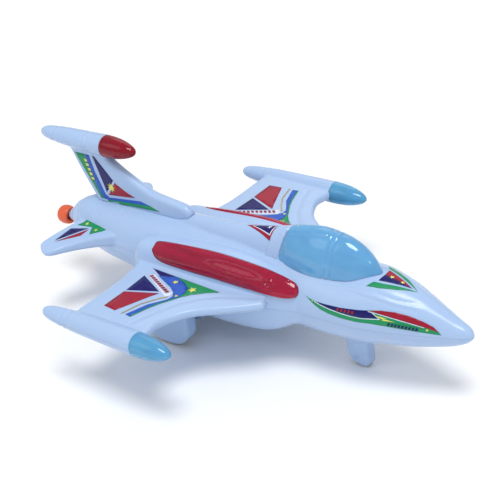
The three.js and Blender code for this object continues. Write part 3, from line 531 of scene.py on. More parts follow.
def pod(rear, lens_x, y, z):
    profile = [[r, a + rear] for r, a in POD_PROFILE] + [[POD_RADIUS, lens_x]]
    dense = smooth_rows(profile, 6).tolist()
    return turned("pod", [*dense, [0, lens_x]], "x", (y, z))


def lowered(plate_object, low, high, fall):
    """A flat plate whose top comes down by fall for each millimetre away from the middle."""
    points, _ = coordinates(plate_object)
    share = (points[:, 2] - low) / (high - low)
    points[:, 2] -= share * fall * np.abs(points[:, 1])
    plate_object.data.vertices.foreach_set("co", (points * MM).ravel())
    return plate_object


def spans(inner, outer):
    return [(inner, outer), (-outer, -inner)]


def canopy_side(shift, ahead):
    """The room ahead of the canopy's leaning rear edge, or the room behind it, moved by shift."""
    low, high = 44, 92
    foot, top = (CANOPY_REAR + shift + CANOPY_LEAN * (z - CANOPY_FOOT) for z in (low, high))
    far = 110 if ahead else 0
    outline = [[foot, low], [far, low], [far, high], [top, high]]
    return plate("room", outline if ahead else outline[::-1], "xz", -30, 30)


def outer_form():
    wing = smooth_rows(WING_TRAILING, 6).tolist() + smooth_rows(WING_LEADING, 6).tolist()
    tail = smooth_rows(STABILISER, 4).tolist()
    parts = [fuselage(), cut(hump(HUMP), canopy_side(-0.3, True)), nacelle(1), nacelle(-1)]
    parts += [plate("wing", o, "xy", WING_BOTTOM, WING_TOP, 2.2) for o in both(wing)]
    for outline in both(tail):
        flat = plate("tail", outline, "xy", STABILISER_BOTTOM, STABILISER_TOP, 2)
        parts.append(lowered(flat, STABILISER_BOTTOM, STABILISER_TOP, STABILISER_FALL))
    parts += [pod(POD_REAR, POD_LENS_X, y, POD_Z) for y in (POD_Y, -POD_Y)]
    parts.append(plate("well", WELL, "xz", -18.4, 18.4, 0.6))
    parts.append(plate("belly", BELLY, "xz", -14.6, 14.6, 1.4))
    parts.append(plate("leg", smooth_rows(NOSE_LEG, 5).tolist(), "xz", -4, 4, 1.6))
    parts += [plate("housing", housing_outline(), "xz", a, b, 2.2)
              for a, b in spans(SPAT_INNER_Y, SPAT_OUTER_Y)]
    return melted("outer", parts, voxel=0.68, smoothing=7)


# Grooves across X: their places, depths and width
POD_RINGS = [POD_REAR + 17.5, POD_REAR + 22]
FIN_POD_RINGS = [-107, -103.5]
TAIL_RINGS = [-118, -124, -128, -132]
TAIL_TOP_RINGS = [-98.8, -101.4]
POD_RING_DEPTH, TAIL_RING_DEPTH, TAIL_TOP_RING_DEPTH = 0.42, 0.45, 0.3
RING_WIDTH = 0.75
# The bead along the wing, seen from above, and the crease along the nose, seen from the side
BEAD = [[-11.6, 78.8], [-7.9, 67.6], [-1.4, 53.6], [6.2, 44.3], [15.7, 37.3], [35.3, 29.1]]
CREASE = [
    [60, 57.2], [72.9, 57.9], [87.6, 57.6], [96.9, 56.7], [103.6, 55.4], [109.6, 54.1], [117.7, 52.8],
    [126, 50.6],
]


def rings_at(x, places):
    return sum(bump(x - place, RING_WIDTH) for place in places)


def wing_bead(x, side, z, upward):
    """A fine groove along BEAD, and a soft swelling on its outer side."""
    flat = np.stack([x, side], -1)
    on_wing = (upward > 0.6) * (z > 44.5) * (z < 48) * (side < 80.5) * (x > -14)
    near = line_distance(flat, BEAD)
    outer_side = line_distance(flat + [2, 2], BEAD) > near
    return 0.22 * on_wing * (bump(near - 3.4, 1.6) * outer_side - bump(near, 0.65))


def canopy_collar(x, z):
    """The raised band behind the canopy, which leans as the canopy's rear edge does."""
    leaning = x - CANOPY_LEAN * (z - CANOPY_FOOT)
    band = step_up(leaning, 27, 27.5) * (1 - step_up(leaning, 35.2, 35.8)) * (z > 60.5) * (x > 20)
    return band * (0.5 - 0.25 * bump(leaning - 31.4, 2.6))


def nose_crease(x, side, z, upward):
    across = line_distance(np.stack([x, z], -1), CREASE)
    on_nose = (side > 3) * (upward > 0.1) * (z > 48) * step_up(x, 62, 70) * (1 - step_up(x, 116, 125))
    return 0.22 * on_nose * (bump(across, 0.6) - bump(across - 1.3, 0.7))


def shell_relief(points, normals):
    x, y, z = points.T
    side, upward = np.abs(y), normals[:, 2]
    on_top = (z > STABILISER_TOP + 0.4) * (side < 19)
    height = -POD_RING_DEPTH * rings_at(x, POD_RINGS) * step_up(side, 80.8, 81.6)
    height -= TAIL_RING_DEPTH * rings_at(x, TAIL_RINGS) * (side < 16.5)
    height -= TAIL_TOP_RING_DEPTH * rings_at(x, TAIL_TOP_RINGS) * on_top
    height += wing_bead(x, side, z, upward)
    height += canopy_collar(x, z)
    return height + nose_crease(x, side, z, upward)


def below(margin):
    """All the room below the stepped parting line, moved out by margin."""
    far, wide, deep = 200, 120, -20
    part = box((-far, -wide, deep), (far, wide, FRONT_PARTING + margin))
    tail = box((-far, -wide, deep - 1), (PARTING_STEP_X + margin, wide, TAIL_PARTING + margin))
    sides = [box((PARTING_STEP_X - 1, a, deep - 2), (far + 0.5, b, WING_PARTING + margin))
             for a, b in spans(PARTING_STEP_Y - margin, wide + 1)]
    return combine(part, "UNION", tail, *sides)


def hollow_form():
    parts = [fuselage(-WALL, 48, 3), hump(HUMP[:-2] + [[34.7, 11.3, 74.4, 50]], -WALL, 40, 3)]
    for side in (1, -1):
        room = nacelle(side, -WALL)
        parts.append(combine(room, "INTERSECT", box((-54.2, -60, 0), (100, 60, 90))))
    parts += [box((-24, a, WING_PARTING), (-14, b, 45)) for a, b in spans(18, POD_Y - 3)]
    parts += [turned("bore", rod(LAMP_BORE_RADIUS, -30, POD_LENS_X + 1), "x", (y, POD_Z))
              for y in (POD_Y, -POD_Y)]
    parts.append(box((-45.6, -16.8, 8.9), (-22, 16.8, 30)))
    parts.append(box((-54, -12.8, BELLY_Z + WALL), (27, 12.8, 30)))
    return melted("hollow", parts, voxel=0.9, smoothing=0)


def posts_and_cuts():
    posts, cuts = [], []
    for x, y in SCREWS:
        _, _, top, _, bottom = row_at(FUSELAGE, x)
        split = TAIL_PARTING if x < PARTING_STEP_X else FRONT_PARTING
        posts.append(turned("post", rod(POST_RADIUS, bottom - 3, top + 3), "z", (x, y), 32))
        seat, tip = split - SCREW_REACH, split + SCREW_REACH - 0.6
        profile = [[0, bottom - 8], [SCREW_HEAD_RADIUS, bottom - 8], [SCREW_HEAD_RADIUS, seat],
                   [SCREW_RADIUS, seat], [SCREW_RADIUS, tip], [0, tip]]
        cuts.append(turned("recess", profile, "z", (x, y), 32))
    return posts, cuts


def wheel_cuts():
    reach = REAR_WHEEL_RADIUS + 0.8
    cuts = [box((REAR_AXLE_X - reach, a, -4), (REAR_AXLE_X + reach, b, REAR_AXLE_Z + reach))
            for a, b in spans(SPAT_INNER_Y + 2, SPAT_OUTER_Y - 2)]
    cuts.append(turned("axle_bore", rod(1.6, -36, 36), "y", (REAR_AXLE_X, REAR_AXLE_Z), 32))
    cuts.append(box((NOSE_AXLE_X - 5.6, -2.3, -4), (NOSE_AXLE_X + 5.4, 2.3, NOSE_AXLE_Z + 6)))
    cuts.append(turned("nose_bore", rod(1, -3.6, 3.6), "y", (NOSE_AXLE_X, NOSE_AXLE_Z), 32))
    return cuts


def shells():
    outer = emboss(outer_form(), shell_relief)
    hollow = hollow_form()
    posts, cuts = posts_and_cuts()
    cut(hollow, *posts)
    cut(outer, hollow, *cuts)
    cockpit = [[43, -8.8], [82, -8.8], [90, -4.6], [90, 4.6], [82, 8.8], [43, 8.8]]
    cut(outer,
        plate("opening", cockpit, "xy", 50, 70),
        box((DOOR_X0, -DOOR_HALF, 10), (DOOR_X1, DOOR_HALF, BELLY_Z + 4)),
        turned("cord_hole", rod(1.9, -145, -120), "x", (0, TAIL_HOLE_Z)),
        *[turned("seat", rod(POD_RADIUS + GAP, POD_LENS_X, 30), "x", (y, POD_Z))
          for y in (POD_Y, -POD_Y)],
        *wheel_cuts(),
        box((FIN_FOOT_REAR - GAP, -FIN_FOOT_HALF - GAP, 54),
            (FIN_FOOT_FRONT + GAP, FIN_FOOT_HALF + GAP, 70)),
        *[side_lens_form(side, GAP, LENS_DEPTH + GAP) for side in (1, -1)])
    upper = copy_of(outer)
    cut(upper, below(SEAM / 2))
    combine(outer, "INTERSECT", below(-SEAM / 2))
    place(upper, "shell_top", WHITE, "white_plastic", stands_for=["upper_shell"], angle=34)
    place(outer, "shell_bottom", WHITE, "white_plastic", stands_for=["lower_shell"], angle=34)
    return upper, outer


def fin_relief(points, _):
    x, _, z = points.T
    rear_ring = bump(x + 133, 0.8)
    return -POD_RING_DEPTH * (rear_ring + rings_at(x, FIN_POD_RINGS)) * step_up(z, 91.5, 92)


def fin():
    blade = smooth_rows(FIN_TRAILING, 4).tolist() + smooth_rows(FIN_LEADING, 6).tolist()
    half = FIN_THICKNESS / 2
    parts = [plate("blade", blade, "xz", -half, half, 2.6),
             pod(FIN_POD_REAR, FIN_POD_LENS_X, 0, FIN_POD_Z)]
    whole = emboss(melted("fin", parts, voxel=0.6, smoothing=6), fin_relief)
    cut(whole, fuselage(GAP), hump(HUMP, GAP))
    combine(whole, "UNION", box((FIN_FOOT_REAR, -FIN_FOOT_HALF, 55.5),
                                (FIN_FOOT_FRONT, FIN_FOOT_HALF, 66)))
    cut(whole,
        turned("bore", rod(LAMP_BORE_RADIUS, -122, FIN_POD_LENS_X + 1), "x", (0, FIN_POD_Z)),
        turned("room", rod(POD_RADIUS + GAP, FIN_POD_LENS_X, -60), "x", (0, FIN_POD_Z)),
        plate("channel", FIN_CHANNEL, "xz", -1.2, 1.2))
    left = copy_of(whole)
    combine(left, "INTERSECT", box((-200, GAP / 4, 0), (0, 20, 120)))
    combine(whole, "INTERSECT", box((-200, -20, 0), (0, -GAP / 4, 120)))
    place(left, "fin_half_left", WHITE, "white_plastic", stands_for=["fin_left_shell"], angle=34)
    place(whole, "fin_half_right", WHITE, "white_plastic", stands_for=["fin_right_shell"], angle=34)
    return whole, left


# ---------- clear plastic ----------
def canopy_relief(points, _):
    """The canopy's frame as grooves: a leaning bow, a long panel on top and a rim behind."""
    x, y, z = points.T
    along = x - 70.5 + 0.09 * (78 - z)
    bow = bump(along - 1.7, 0.55) + bump(along + 1.7, 0.55)
    rear, front, half = 43, 66, 4.6
    rails = bump(np.abs(y) - half, 0.6) * step_up(x, rear - 1, rear) * (1 - step_up(x, front, front + 1))
    ends = (bump(x - rear, 0.6) + bump(x - front, 0.6)) * (np.abs(y) < half + 0.2)
    panel = np.clip(rails + ends, 0, 1) * (z > 74)
    return -0.4 * bow - 0.45 * panel - 0.3 * bump(x - 39.5, 0.9)


def canopy():
    wall = 1.5
    outer = emboss(hump(CANOPY, 0, 160, 16), canopy_relief)
    cut(outer, fuselage(GAP), canopy_side(0, False))
    room = box((CANOPY_REAR, -20, 40), (95, 20, 90))
    inner = combine(hump(CANOPY, -wall, 96, 10), "INTERSECT", room)
    cut(inner, canopy_side(wall, False))
    cut(outer, inner)
    place(outer, "canopy_glass", BLUE_CLEAR, "blue_plastic", stands_for=["canopy"])


def round_lens(name, node, x, y, z, finish, slot):
    dense = smooth_rows(LENS_PROFILE, 6).tolist()
    hollow = smooth_rows(LENS_HOLLOW[::-1], 6).tolist()
    profile = [[r, a + x + GAP] for r, a in dense + hollow + dense[:1]]
    place(turned("lens", profile, "x", (y, z), 96), name, finish, slot, stands_for=[node])
    cup = [[4.9, 0.4], [5.1, 0.4], [4.5, 6.6], [2.8, 3.4], [2.6, 1.2], [4.6, 1.2], [4.9, 0.4]]
    place(turned("cup", [[r, a + x] for r, a in cup], "x", (y, z), 64), name + "_reflector", WHITE,
          "white_plastic")


def side_lens_relief(points, normals):
    """A round boss near the lens's front, a long oval behind it, and a groove inside the rim."""
    x, y, z = points.T
    _, line_y, line_z = row_at(SIDE_LENS_LINE, x)
    _, half, _ = row_at(SIDE_LENS, x)
    across = (np.abs(y) - line_y) * math.cos(SIDE_LENS_TILT) - (z - line_z) * math.sin(SIDE_LENS_TILT)
    outside = step_up(np.abs(normals[:, 1]) + normals[:, 2], 0.2, 0.5)
    from_boss = np.hypot(x - 39, across)
    boss = 0.55 * bump(from_boss - 1.8, 0.5) - 0.5 * bump(from_boss, 1)
    oval = bump(np.abs(np.hypot((x - 17) / 17, (across + 1) / 2.4) - 1), 0.12) * (from_boss > 3.4)
    rim = bump(np.abs(across) - half + 1.2, 0.35) * step_up(half, 4.4, 5.4)
    return outside * (boss - 0.2 * oval - 0.2 * rim)


def side_lens(name, node, side):
    outer = emboss(side_lens_form(side, 0, LENS_DEPTH, 96, 24), side_lens_relief)
    cut(outer, side_lens_form(side, -1.4, 3 * LENS_DEPTH))
    place(outer, name, RED_CLEAR, "red_plastic", stands_for=[node])


# ---------- wheels, knob and small pieces ----------
def leg_bosses():
    boss = [[0, 3.9], [0, 4.0], [0.8, 4.0], [1, 4.3], [1.6, 4.35], [2, 4.1], [2.1, 3.9]]
    for end, side in SIDES:
        profile = [[r, side * a] for r, a in boss]
        place(turned("boss", profile, "y", (NOSE_AXLE_X, NOSE_AXLE_Z), 48), "leg_boss_" + end, WHITE,
              "white_plastic")


def wheel_profile(half, middle, side=1):
    """A closed wheel section from its inner half, mirrored about the middle of its width."""
    other_half = [[r, 2 * middle - a] for r, a in half[::-1]]
    return [[r, side * a] for r, a in half + other_half + half[:1]]


def wheels():
    rim = REAR_WHEEL_RADIUS
    rear = [[1.5, 30.8], [4, 30.8], [5, 31.8], [rim - 4, 31.8], [rim - 3, 30.8], [rim - 0.7, 30.8],
            [rim - 0.2, 31], [rim, 31.5], [rim, 32.4], [rim - 0.3, 32.7]]
    middle = (SPAT_INNER_Y + SPAT_OUTER_Y) / 2
    for end, side in SIDES:
        wheel = turned("wheel", wheel_profile(rear, middle, side), "y", (REAR_AXLE_X, REAR_AXLE_Z), 96)
        place(wheel, "wheel_" + end, BLACK, "black_plastic", "rear_axle_set", ["rear_wheel_" + end], 30)
    rim = NOSE_WHEEL_RADIUS
    small = [[1.1, -1.8], [2, -1.8], [2.5, -1.3], [3.5, -1.3], [4, -1.8], [rim - 0.4, -1.7],
             [rim - 0.1, -1.4], [rim, -1]]
    wheel = turned("nose", wheel_profile(small, 0), "y", (NOSE_AXLE_X, NOSE_AXLE_Z))
    place(wheel, "nose_wheel_tyre", BLACK, "black_plastic", "nose_wheel_set", ["nose_wheel"], 30)


def knob():
    """A rounded knob, hollow in front, where the cord ends in it."""
    x, half, radius = KNOB_X, KNOB_HALF, KNOB_RADIUS
    profile = [[0, x - half], [1.4, x - half + 0.05], [2.8, x - half + 0.4], [4.2, x - half + 1.2],
               [5.2, x - half + 2.3], [5.7, x - 1.2], [radius, x + 0.6], [radius, x + 1.4],
               [5.75, x + 2.6], [5.4, x + 3.9], [5, x + half - 0.15], [4.6, x + half], [3.8, x + half],
               [3.4, x + half - 0.6], [2.9, x + 2.4], [2.6, x + 0.7], [2.2, x + 0.4], [0, x + 0.4]]
    dense = smooth_rows(profile, 4).tolist()
    place(turned("knob", dense, "x", (0, KNOB_Z), 96), "pull_knob_ball", ORANGE, "orange_plastic",
          "pull_handle", ["pull_knob"])


def cord_eyelet():
    eyelet = [[1.1, -136], [1.6, -136], [1.6, -135.2], [1.62, -126], [1.1, -126], [1.1, -136]]
    place(turned("eyelet", eyelet, "x", (0, TAIL_HOLE_Z), 48), "cord_eyelet", STEEL, "steel",
          stands_for=["tail_eyelet"])


def pull_cord():
    """A cord of three twisted strands, from the spool through the eyelet into the knob."""
    strands, lay_length, radius, strand_depth = 3, 2.4, 0.5, 0.08
    low, high = (np.array(corner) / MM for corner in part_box("pull_cord"))
    route = np.array([[high[0], 0, high[2] - 0.6], [-80, 0, TAIL_HOLE_Z], [-122, 0, TAIL_HOLE_Z],
                      [-132, 0, TAIL_HOLE_Z], [low[0], 0, TAIL_HOLE_Z]])
    line = smooth_rows(route, 60)
    length = np.concatenate([[0], np.cumsum(np.linalg.norm(np.diff(line, axis=0), axis=1))])
    around = 24
    angle = np.arange(around) / around * 2 * math.pi
    twist = length[:, None] / lay_length * 2 * math.pi
    radius = radius + strand_depth * np.cos(strands * (angle[None, :] - twist))
    rings = np.stack([np.repeat(line[:, :1], around, 1), line[:, 1:2] + radius * np.cos(angle),
                      line[:, 2:3] + radius * np.sin(angle)], -1)
    cord = skin("twisted_cord", rings)
    finish_surface(cord, 60)
    dress(cord, CORD)
    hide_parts("pull_cord")
    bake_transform(cord)


# ---------- stickers ----------
# Each printed shape is a film of its own, a step higher than the one before it
FILM_LIFT, FILM_STEP, FILM_THICKNESS = 0.05, 0.035, 0.03


def star(x, y, size, turn=0.0, points=5):
    notch = 0.45
    out = []
    for k in range(2 * points):
        reach = size if k % 2 == 0 else size * notch
        angle = turn + k * math.pi / points
        out.append([x + reach * math.cos(angle), y + reach * math.sin(angle)])
    return out


def strip(line, width):
    """A band of that width along a line of flat points."""
    points = np.asarray(line, float)
    run = np.gradient(points, axis=0)
    run /= np.linalg.norm(run, axis=1)[:, None]
    normal = np.stack([-run[:, 1], run[:, 0]], -1) * width / 2
    return (points + normal).tolist() + (points - normal)[::-1].tolist()


def fine_mesh(outline, flat_axes, edge):
    """A flat outline as a mesh cut into cells of that edge, to follow a curved surface."""
    part = bmesh.new()
    corners = []
    for a, b in outline:
        point = [0.0, 0.0, 0.0]
        point[flat_axes[0]], point[flat_axes[1]] = a, b
        corners.append(part.verts.new(point))
    part.faces.new(corners)
    part.normal_update()
    bmesh.ops.triangulate(part, faces=part.faces)
    low = [min(v.co[k] for v in part.verts) for k in range(3)]
    high = [max(v.co[k] for v in part.verts) for k in range(3)]
    for k in flat_axes:
        for value in np.arange(low[k] + edge, high[k], edge):
            point, normal = [0, 0, 0], [0, 0, 0]
            point[k], normal[k] = value, 1
            bmesh.ops.bisect_plane(part, geom=part.verts[:] + part.edges[:] + part.faces[:],
                                   plane_co=point, plane_no=normal)
    return part


def press(part, tree, direction, axis, lift):
    """Moves each point along the direction onto the surface, and drops the points that miss it."""
    missed = []
    for v in part.verts:
        origin = v.co.copy()
        origin[axis] = -direction[axis] * 200
        hit, normal, _, _ = tree.ray_cast(origin * MM, Vector(direction))
        if hit is None:
            missed.append(v)
        else:
            v.co = hit / MM + normal * lift
    bmesh.ops.delete(part, geom=missed, context="VERTS")


def sticker(name, shapes, tree, direction, edge):
    """Thin printed film pressed on a surface: flat shapes cast onto it along a direction."""
    axis = max(range(3), key=lambda k: abs(direction[k]))
    flat_axes = [k for k in range(3) if k != axis]
    mesh = bmesh.new()
    finishes = []
    for level, (finish, outline) in enumerate(shapes):
        if finish not in finishes:
            finishes.append(finish)
        part = fine_mesh(outline, flat_axes, edge)
        press(part, tree, direction, axis, FILM_LIFT + FILM_STEP * level)
        for face in part.faces:
            face.material_index = finishes.index(finish)
            face.smooth = True
        for v in part.verts:
            v.co *= MM
        layer = bpy.data.meshes.new("layer")
        part.to_mesh(layer)
        part.free()
        mesh.from_mesh(layer)
        bpy.data.meshes.remove(layer)
    mesh.normal_update()
    flipped = [f for f in mesh.faces if f.normal.dot(Vector(direction)) > 0]
    bmesh.ops.reverse_faces(mesh, faces=flipped)
    final = bpy.data.meshes.new(name)
    mesh.to_mesh(final)
    mesh.free()
    obj = bpy.data.objects.new(name, final)
    bpy.context.scene.collection.objects.link(obj)
    for finish in finishes:
        final.materials.append(finish)
    thick = obj.modifiers.new("film", "SOLIDIFY")
    thick.thickness, thick.offset = FILM_THICKNESS * MM, 1
    apply_modifiers(obj)
    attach(obj, "airframe")
    return obj


def dashes(start, end, count, width, tilt):
    """Slanted bars along a line, in place of words."""
    start, end = np.array(start, float), np.array(end, float)
    run = (end - start) / np.linalg.norm(end - start)
    up = np.array([-run[1], run[0]])
    out = []
    for k in range(count):
        middle = start + (end - start) * (k + 0.5) / count
        reach = np.linalg.norm(end - start) / count * 0.3
        out.append([(middle + run * a * reach + (up + run * tilt) * b * width / 2).tolist()
                    for a, b in ((-1, -1), (1, -1), (1, 1), (-1, 1))])
    return out


def mirrored(points, side):
    return [[x, side * y] for x, y in points]


# The print on the right wing: x, y
WEDGE_FRONT = [[13, -34.7], [6.5, -38.6], [0.6, -43.4]]
WEDGE_OUTER = [[-4.5, -49.3], [-9.7, -57.7], [-12.6, -63.9], [-16.1, -74.8]]
WEDGE_INNER = [
    [-19.7, -74.3], [-14.9, -61.4], [-10.9, -56.3], [-8.4, -52.6], [-8, -49.3], [-10.3, -46.1],
    [-15.1, -43],
]
WEDGE = [[-37.7, -32.3], *WEDGE_FRONT, *WEDGE_OUTER, *WEDGE_INNER]
WEDGE_ROYAL = [
    [-29.5, -36.9], [-17.6, -33.3], [-11, -36.2], [-5.8, -39.5], [-4.2, -44.2], *WEDGE_OUTER,
    *WEDGE_INNER,
]
WEDGE_GREEN = [
    [-18.8, -33.2], *WEDGE_FRONT, WEDGE_OUTER[0], [-4, -44.2], [-5.2, -39.5], [-10.8, -36.1],
    [-15.2, -34.6],
]


def wing_shapes(side):
    pin_stripe = [[-22.3, -74.8], [-19.1, -63.4], [-13.7, -54.8], [-10, -50.8]]
    shapes = [
        (NAVY, [[-36.2, -56.2], [-37.1, -40.2], [-18.2, -49]]),
        (RED, [[-36.6, -73.3], [-36.4, -57.7], [-16.9, -50.3], [-19.5, -55.4], [-27.7, -74.1]]),
        (PAPER, [[-36.1, -38.8], [-33.4, -36.2], [-10.2, -46.6], [-9.4, -49.2], [-11.6, -51.6]]),
        (NAVY, WEDGE),
        (ROYAL, WEDGE_ROYAL),
        (GREEN, WEDGE_GREEN),
        (GREEN, strip(WEDGE_OUTER, 0.8)),
        (GOLD, strip(pin_stripe, 0.6)),
        (YELLOW, star(-15.9, -37.8, 2)),
        (YELLOW, star(-2, -39.7, 2.8)),
        (YELLOW, star(-6.2, -48.4, 1.3)),
    ]
    shapes += [(RED, bar) for bar in dashes((-33.6, -38.6), (-12.4, -48.2), 9, 2, 0.4)]
    return [(finish, mirrored(outline, -side)) for finish, outline in shapes]


def side_shapes():
    lower = [[60.3, 50.5], [65, 47.8], [69.7, 45.7], [75, 44.4], [81.9, 43.7], [89.8, 43.7],
             [97.9, 43.7], [106.7, 43.2], [116.1, 42.4], [125.3, 41.4], [133.5, 40.8]]
    upper = [[62.8, 49.7], [66.5, 49.1], [72.4, 48.9], [81.7, 49.1], [89.4, 49.9], [97, 50.4],
             [103.7, 50.9], [110.7, 50.6], [117.7, 49.2], [124.7, 46.8], [129.5, 44.6]]
    middle = [[102.4, 46.9], [94, 46.4], [82.5, 46.7], [75, 47.3], [70, 48.2], [66, 49]]
    red = [[97.6, 50.4], *upper[6:], [132.3, 42.2], [125.1, 44.4], [118.2, 46.1], [111.2, 47.7],
           [104.9, 49]]
    line = [[66, 49], [70, 47.9], [75, 47], [82.5, 46.3], [94, 46], [103.4, 46.6]]
    shapes = [
        (GREEN, lower + upper[::-1]),
        (NAVY, upper[1:6] + [[99, 49.3]] + middle),
        (PAPER, strip(line, 0.4)),
        (PAPER, strip([[103.6, 46.6], [99.3, 49.6]], 0.4)),
        (RED, red),
        (PAPER, strip([[97.2, 50], [104.9, 48.7], [111.2, 47.4], [118.2, 45.8], [125.1, 44.1]], 0.35)),
        (YELLOW, [[100.6, 48.4], [107.2, 47.4], [105, 47.2], [111.3, 45.9], [104.4, 46.2],
                  [105.2, 46.8]]),
        (YELLOW, star(65, 49, 0.6)),
        (YELLOW, star(126.6, 43, 0.8)),
    ]
    shapes += [(RED, bar) for bar in dashes((79.6, 48), (90.4, 48.4), 5, 1.5, 0.3)]
    shapes += [(NAVY, bar) for bar in dashes((107.2, 44.7), (122.6, 43), 9, 1.5, 0.3)]
    return shapes


def nose_shapes():
    border = [[92.2, 10.4], [99, 8.7], [107.3, 5.4], [116.2, 0.1], [106.7, 3.3], [100.2, 5.6],
              [94.8, 6.9]]
    field = [[96.6, 5.2], [105.6, 2.5], [113, 0], [97.2, 0]]
    return [
        (GREEN, border),
        (GREEN, mirrored(border, -1)),
        (RED, field),
        (NAVY, mirrored(field, -1)),
        (YELLOW, star(101, 0.5, 1.4)),
        (YELLOW, star(107.3, 0.3, 1.2)),
    ]


def fin_shapes():
    border = [[-107.3, 79.4], [-102.1, 65.5], [-98.7, 62.2], [-70.3, 65.1], [-61.5, 65.9]]
    green = [[-117, 90.1], [-101.4, 60.3], [-54.7, 63.7], *border[::-1], [-109.2, 90.2]]
    royal = [[-108.9, 90.2], *border, [-69, 67.4], [-95.1, 64.1], [-97.8, 65.6], [-103.3, 80.3],
             [-105.3, 90.2]]
    return [
        (GREEN, green),
        (ROYAL, royal),
        (NAVY, [[-102.6, 90.4], [-100.8, 90], [-89, 76.6], [-96.2, 67.5]]),
        (RED, [[-87.9, 75.3], [-81, 71.6], [-73, 68.7], [-95, 65.9]]),
        (PAPER, strip([[-88.2, 76.4], [-96, 66.3]], 0.6)),
        (YELLOW, star(-91.5, 71.5, 3.3, 0.2, 8)),
    ] + [(YELLOW, bar) for bar in dashes((-109.2, 87.6), (-105.2, 73.4), 5, 2.3, 0.2)]


def stabiliser_shapes(side):
    shapes = [
        (GREEN, [[-107, -14.2], [-88.1, -17], [-96.1, -23.9], [-99.2, -17.9], [-110.1, -19.6]]),
        (NAVY, [[-111.6, -23.6], [-100.6, -19.5], [-113.4, -36.2]]),
        (RED, [[-99.6, -20.1], [-100.5, -26.8], [-112.5, -37.1]]),
        (YELLOW, star(-104.6, -16.5, 1.5)),
        (YELLOW, star(-94.7, -19.2, 1.4)),
    ]
    return [(finish, mirrored(outline, -side)) for finish, outline in shapes]


def hump_shapes():
    return [
        (RED, [[8.4, 0], [28.8, 6.8], [29.6, 0], [28.8, -6.8]]),
        (PAPER, [[12, 0], [28, 5.1], [28.8, 0], [28, -5.1]]),
        (NAVY, [[13.4, 0], [27.4, 4.4], [28.2, 0], [27.4, -4.4]]),
        (PAPER, star(24.6, 0, 1.6)),
    ]


def stickers(upper, lower, fin_right, fin_left):
    graph = bpy.context.evaluated_depsgraph_get()
    bpy.context.view_layer.update()
    tree = {obj.name: BVHTree.FromObject(obj, graph) for obj in (upper, lower, fin_right, fin_left)}
    top = tree[upper.name]
    down = (0, 0, -1)
    for end, side in SIDES:
        sticker("wing_print_" + end, wing_shapes(side), top, down, 4.0)
        sticker("tail_print_" + end, stabiliser_shapes(side), top, down, 4.0)
        sticker("side_print_" + end, side_shapes(), top, (0, -side, 0), 1.2)
    sticker("nose_print", nose_shapes(), top, down, 1.0)
    sticker("hump_print", hump_shapes(), top, down, 1.0)
    sticker("fin_print_right", fin_shapes(), tree[fin_right.name], (0, 1, 0), 2.0)
    sticker("fin_print_left", fin_shapes(), tree[fin_left.name], (0, -1, 0), 2.0)


# ---------- the CAD pieces that stay ----------
CARRIED = {
    "cockpit_tub": WHITE, "battery_door": WHITE, "battery_holder": BLACK, "spring_cup": BLACK,
    "gearbox_left_plate": BLACK, "gearbox_right_plate": BLACK, "ratchet_gear": ACETAL,
    "axle_pinion": ACETAL, "flywheel_pinion": ACETAL, "cord_spool": ACETAL, "cord_winding": CORD,
    "light_board": BOARD,
}


def carried_finish(name):
    if name.startswith("led_"):
        return LED
    if "wire" in name:
        return WIRE
    return CARRIED.get(name, STEEL)


def carried_nodes():
    for name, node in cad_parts.items():
        if node.data.materials:
            node.material_slots[0].material = carried_finish(name)


# ---------- camera, light and floor ----------
# Azimuth, elevation and roll in degrees, place in metres, focal length in mm
CAMERA_TURN = (43.10, 30.25, -9.12)
CAMERA_AT = (0.43001, -0.45168, 0.41355)
FOCAL_LENGTH = 93.67
# Round soft boxes: name, place in metres, width in metres, watts
LIGHTS = [
    ("key", (1.0, -0.9, 5.4), 2.4, 168), ("fill", (-2.4, -3.6, 3.6), 3.2, 24),
    ("rim", (-2.0, 3.6, 3.6), 3.2, 20), ("spark", (3.2, -0.9, 2.4), 0.45, 9),
]
WORLD_STRENGTH = 0.56


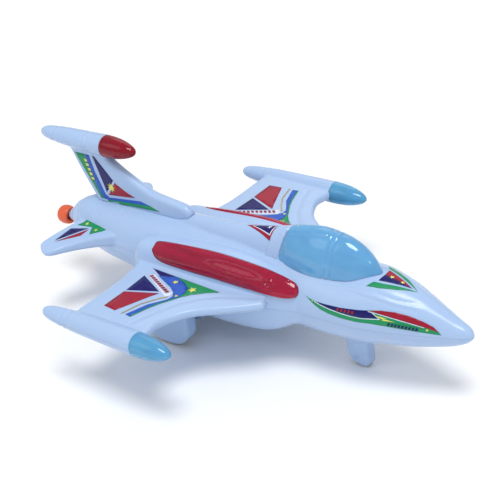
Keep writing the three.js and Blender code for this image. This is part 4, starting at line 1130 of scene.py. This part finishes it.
def camera():
    azimuth, elevation, roll = (math.radians(v) for v in CAMERA_TURN)
    back = Vector((math.sin(azimuth) * math.cos(elevation), -math.cos(azimuth) * math.cos(elevation),
                   math.sin(elevation)))
    right = (-back).cross(Vector((0, 0, 1))).normalized()
    up = right.cross(-back)
    across = right * math.cos(roll) + up * math.sin(roll)
    above = up * math.cos(roll) - right * math.sin(roll)
    data = bpy.data.cameras.new("camera")
    data.sensor_width, data.lens = 36, FOCAL_LENGTH
    data.clip_start, data.clip_end = 0.01, 50
    obj = bpy.data.objects.new("camera", data)
    bpy.context.scene.collection.objects.link(obj)
    turn = Matrix((across, above, back)).transposed()
    obj.matrix_world = Matrix.Translation(CAMERA_AT) @ turn.to_4x4()
    bpy.context.scene.camera = obj


def area_light(name, at, size, power):
    """A round soft box that faces the toy."""
    data = bpy.data.lights.new(name, "AREA")
    data.shape, data.size, data.energy = "DISK", size, power
    obj = bpy.data.objects.new(name, data)
    bpy.context.scene.collection.objects.link(obj)
    obj.location = at
    obj.rotation_euler = (Vector((0, 0, 0.04)) - Vector(at)).to_track_quat("-Z", "Y").to_euler()


def studio():
    half = 9000
    corners = [[-half, -half, 0], [half, -half, 0], [half, half, 0], [-half, half, 0]]
    floor = new_object("studio_floor", corners, [(0, 1, 2, 3)])
    floor.location.z = -0.0004
    made = bpy.data.materials.new("studio_white")
    made.use_nodes = True
    shader = made.node_tree.nodes["Principled BSDF"]
    shader.inputs["Base Color"].default_value = (0.94, 0.94, 0.94, 1)
    shader.inputs["Roughness"].default_value = 0.9
    floor.data.materials.append(made)
    for light in LIGHTS:
        area_light(*light)
    world = bpy.data.worlds.new("studio")
    bpy.context.scene.world = world
    world.use_nodes = True
    background = world.node_tree.nodes["Background"]
    background.inputs["Color"].default_value = (0.97, 0.98, 1, 1)
    background.inputs["Strength"].default_value = WORLD_STRENGTH
    bpy.context.scene.view_settings.view_transform = "Standard"


camera()
carried_nodes()
upper, lower = shells()
fin_right, fin_left = fin()
canopy()
for end, side in SIDES:
    round_lens("wing_lamp_" + end, "wing_lens_" + end, POD_LENS_X, side * POD_Y, POD_Z, LENS_BLUE,
               "blue_plastic")
round_lens("fin_lamp", "fin_lens", FIN_POD_LENS_X, 0, FIN_POD_Z, FIN_RED, "red_plastic")
for end, side in SIDES:
    side_lens("side_lamp_" + end, "side_lens_" + end, side)
leg_bosses()
wheels()
knob()
cord_eyelet()
pull_cord()
stickers(upper, lower, fin_right, fin_left)
studio()
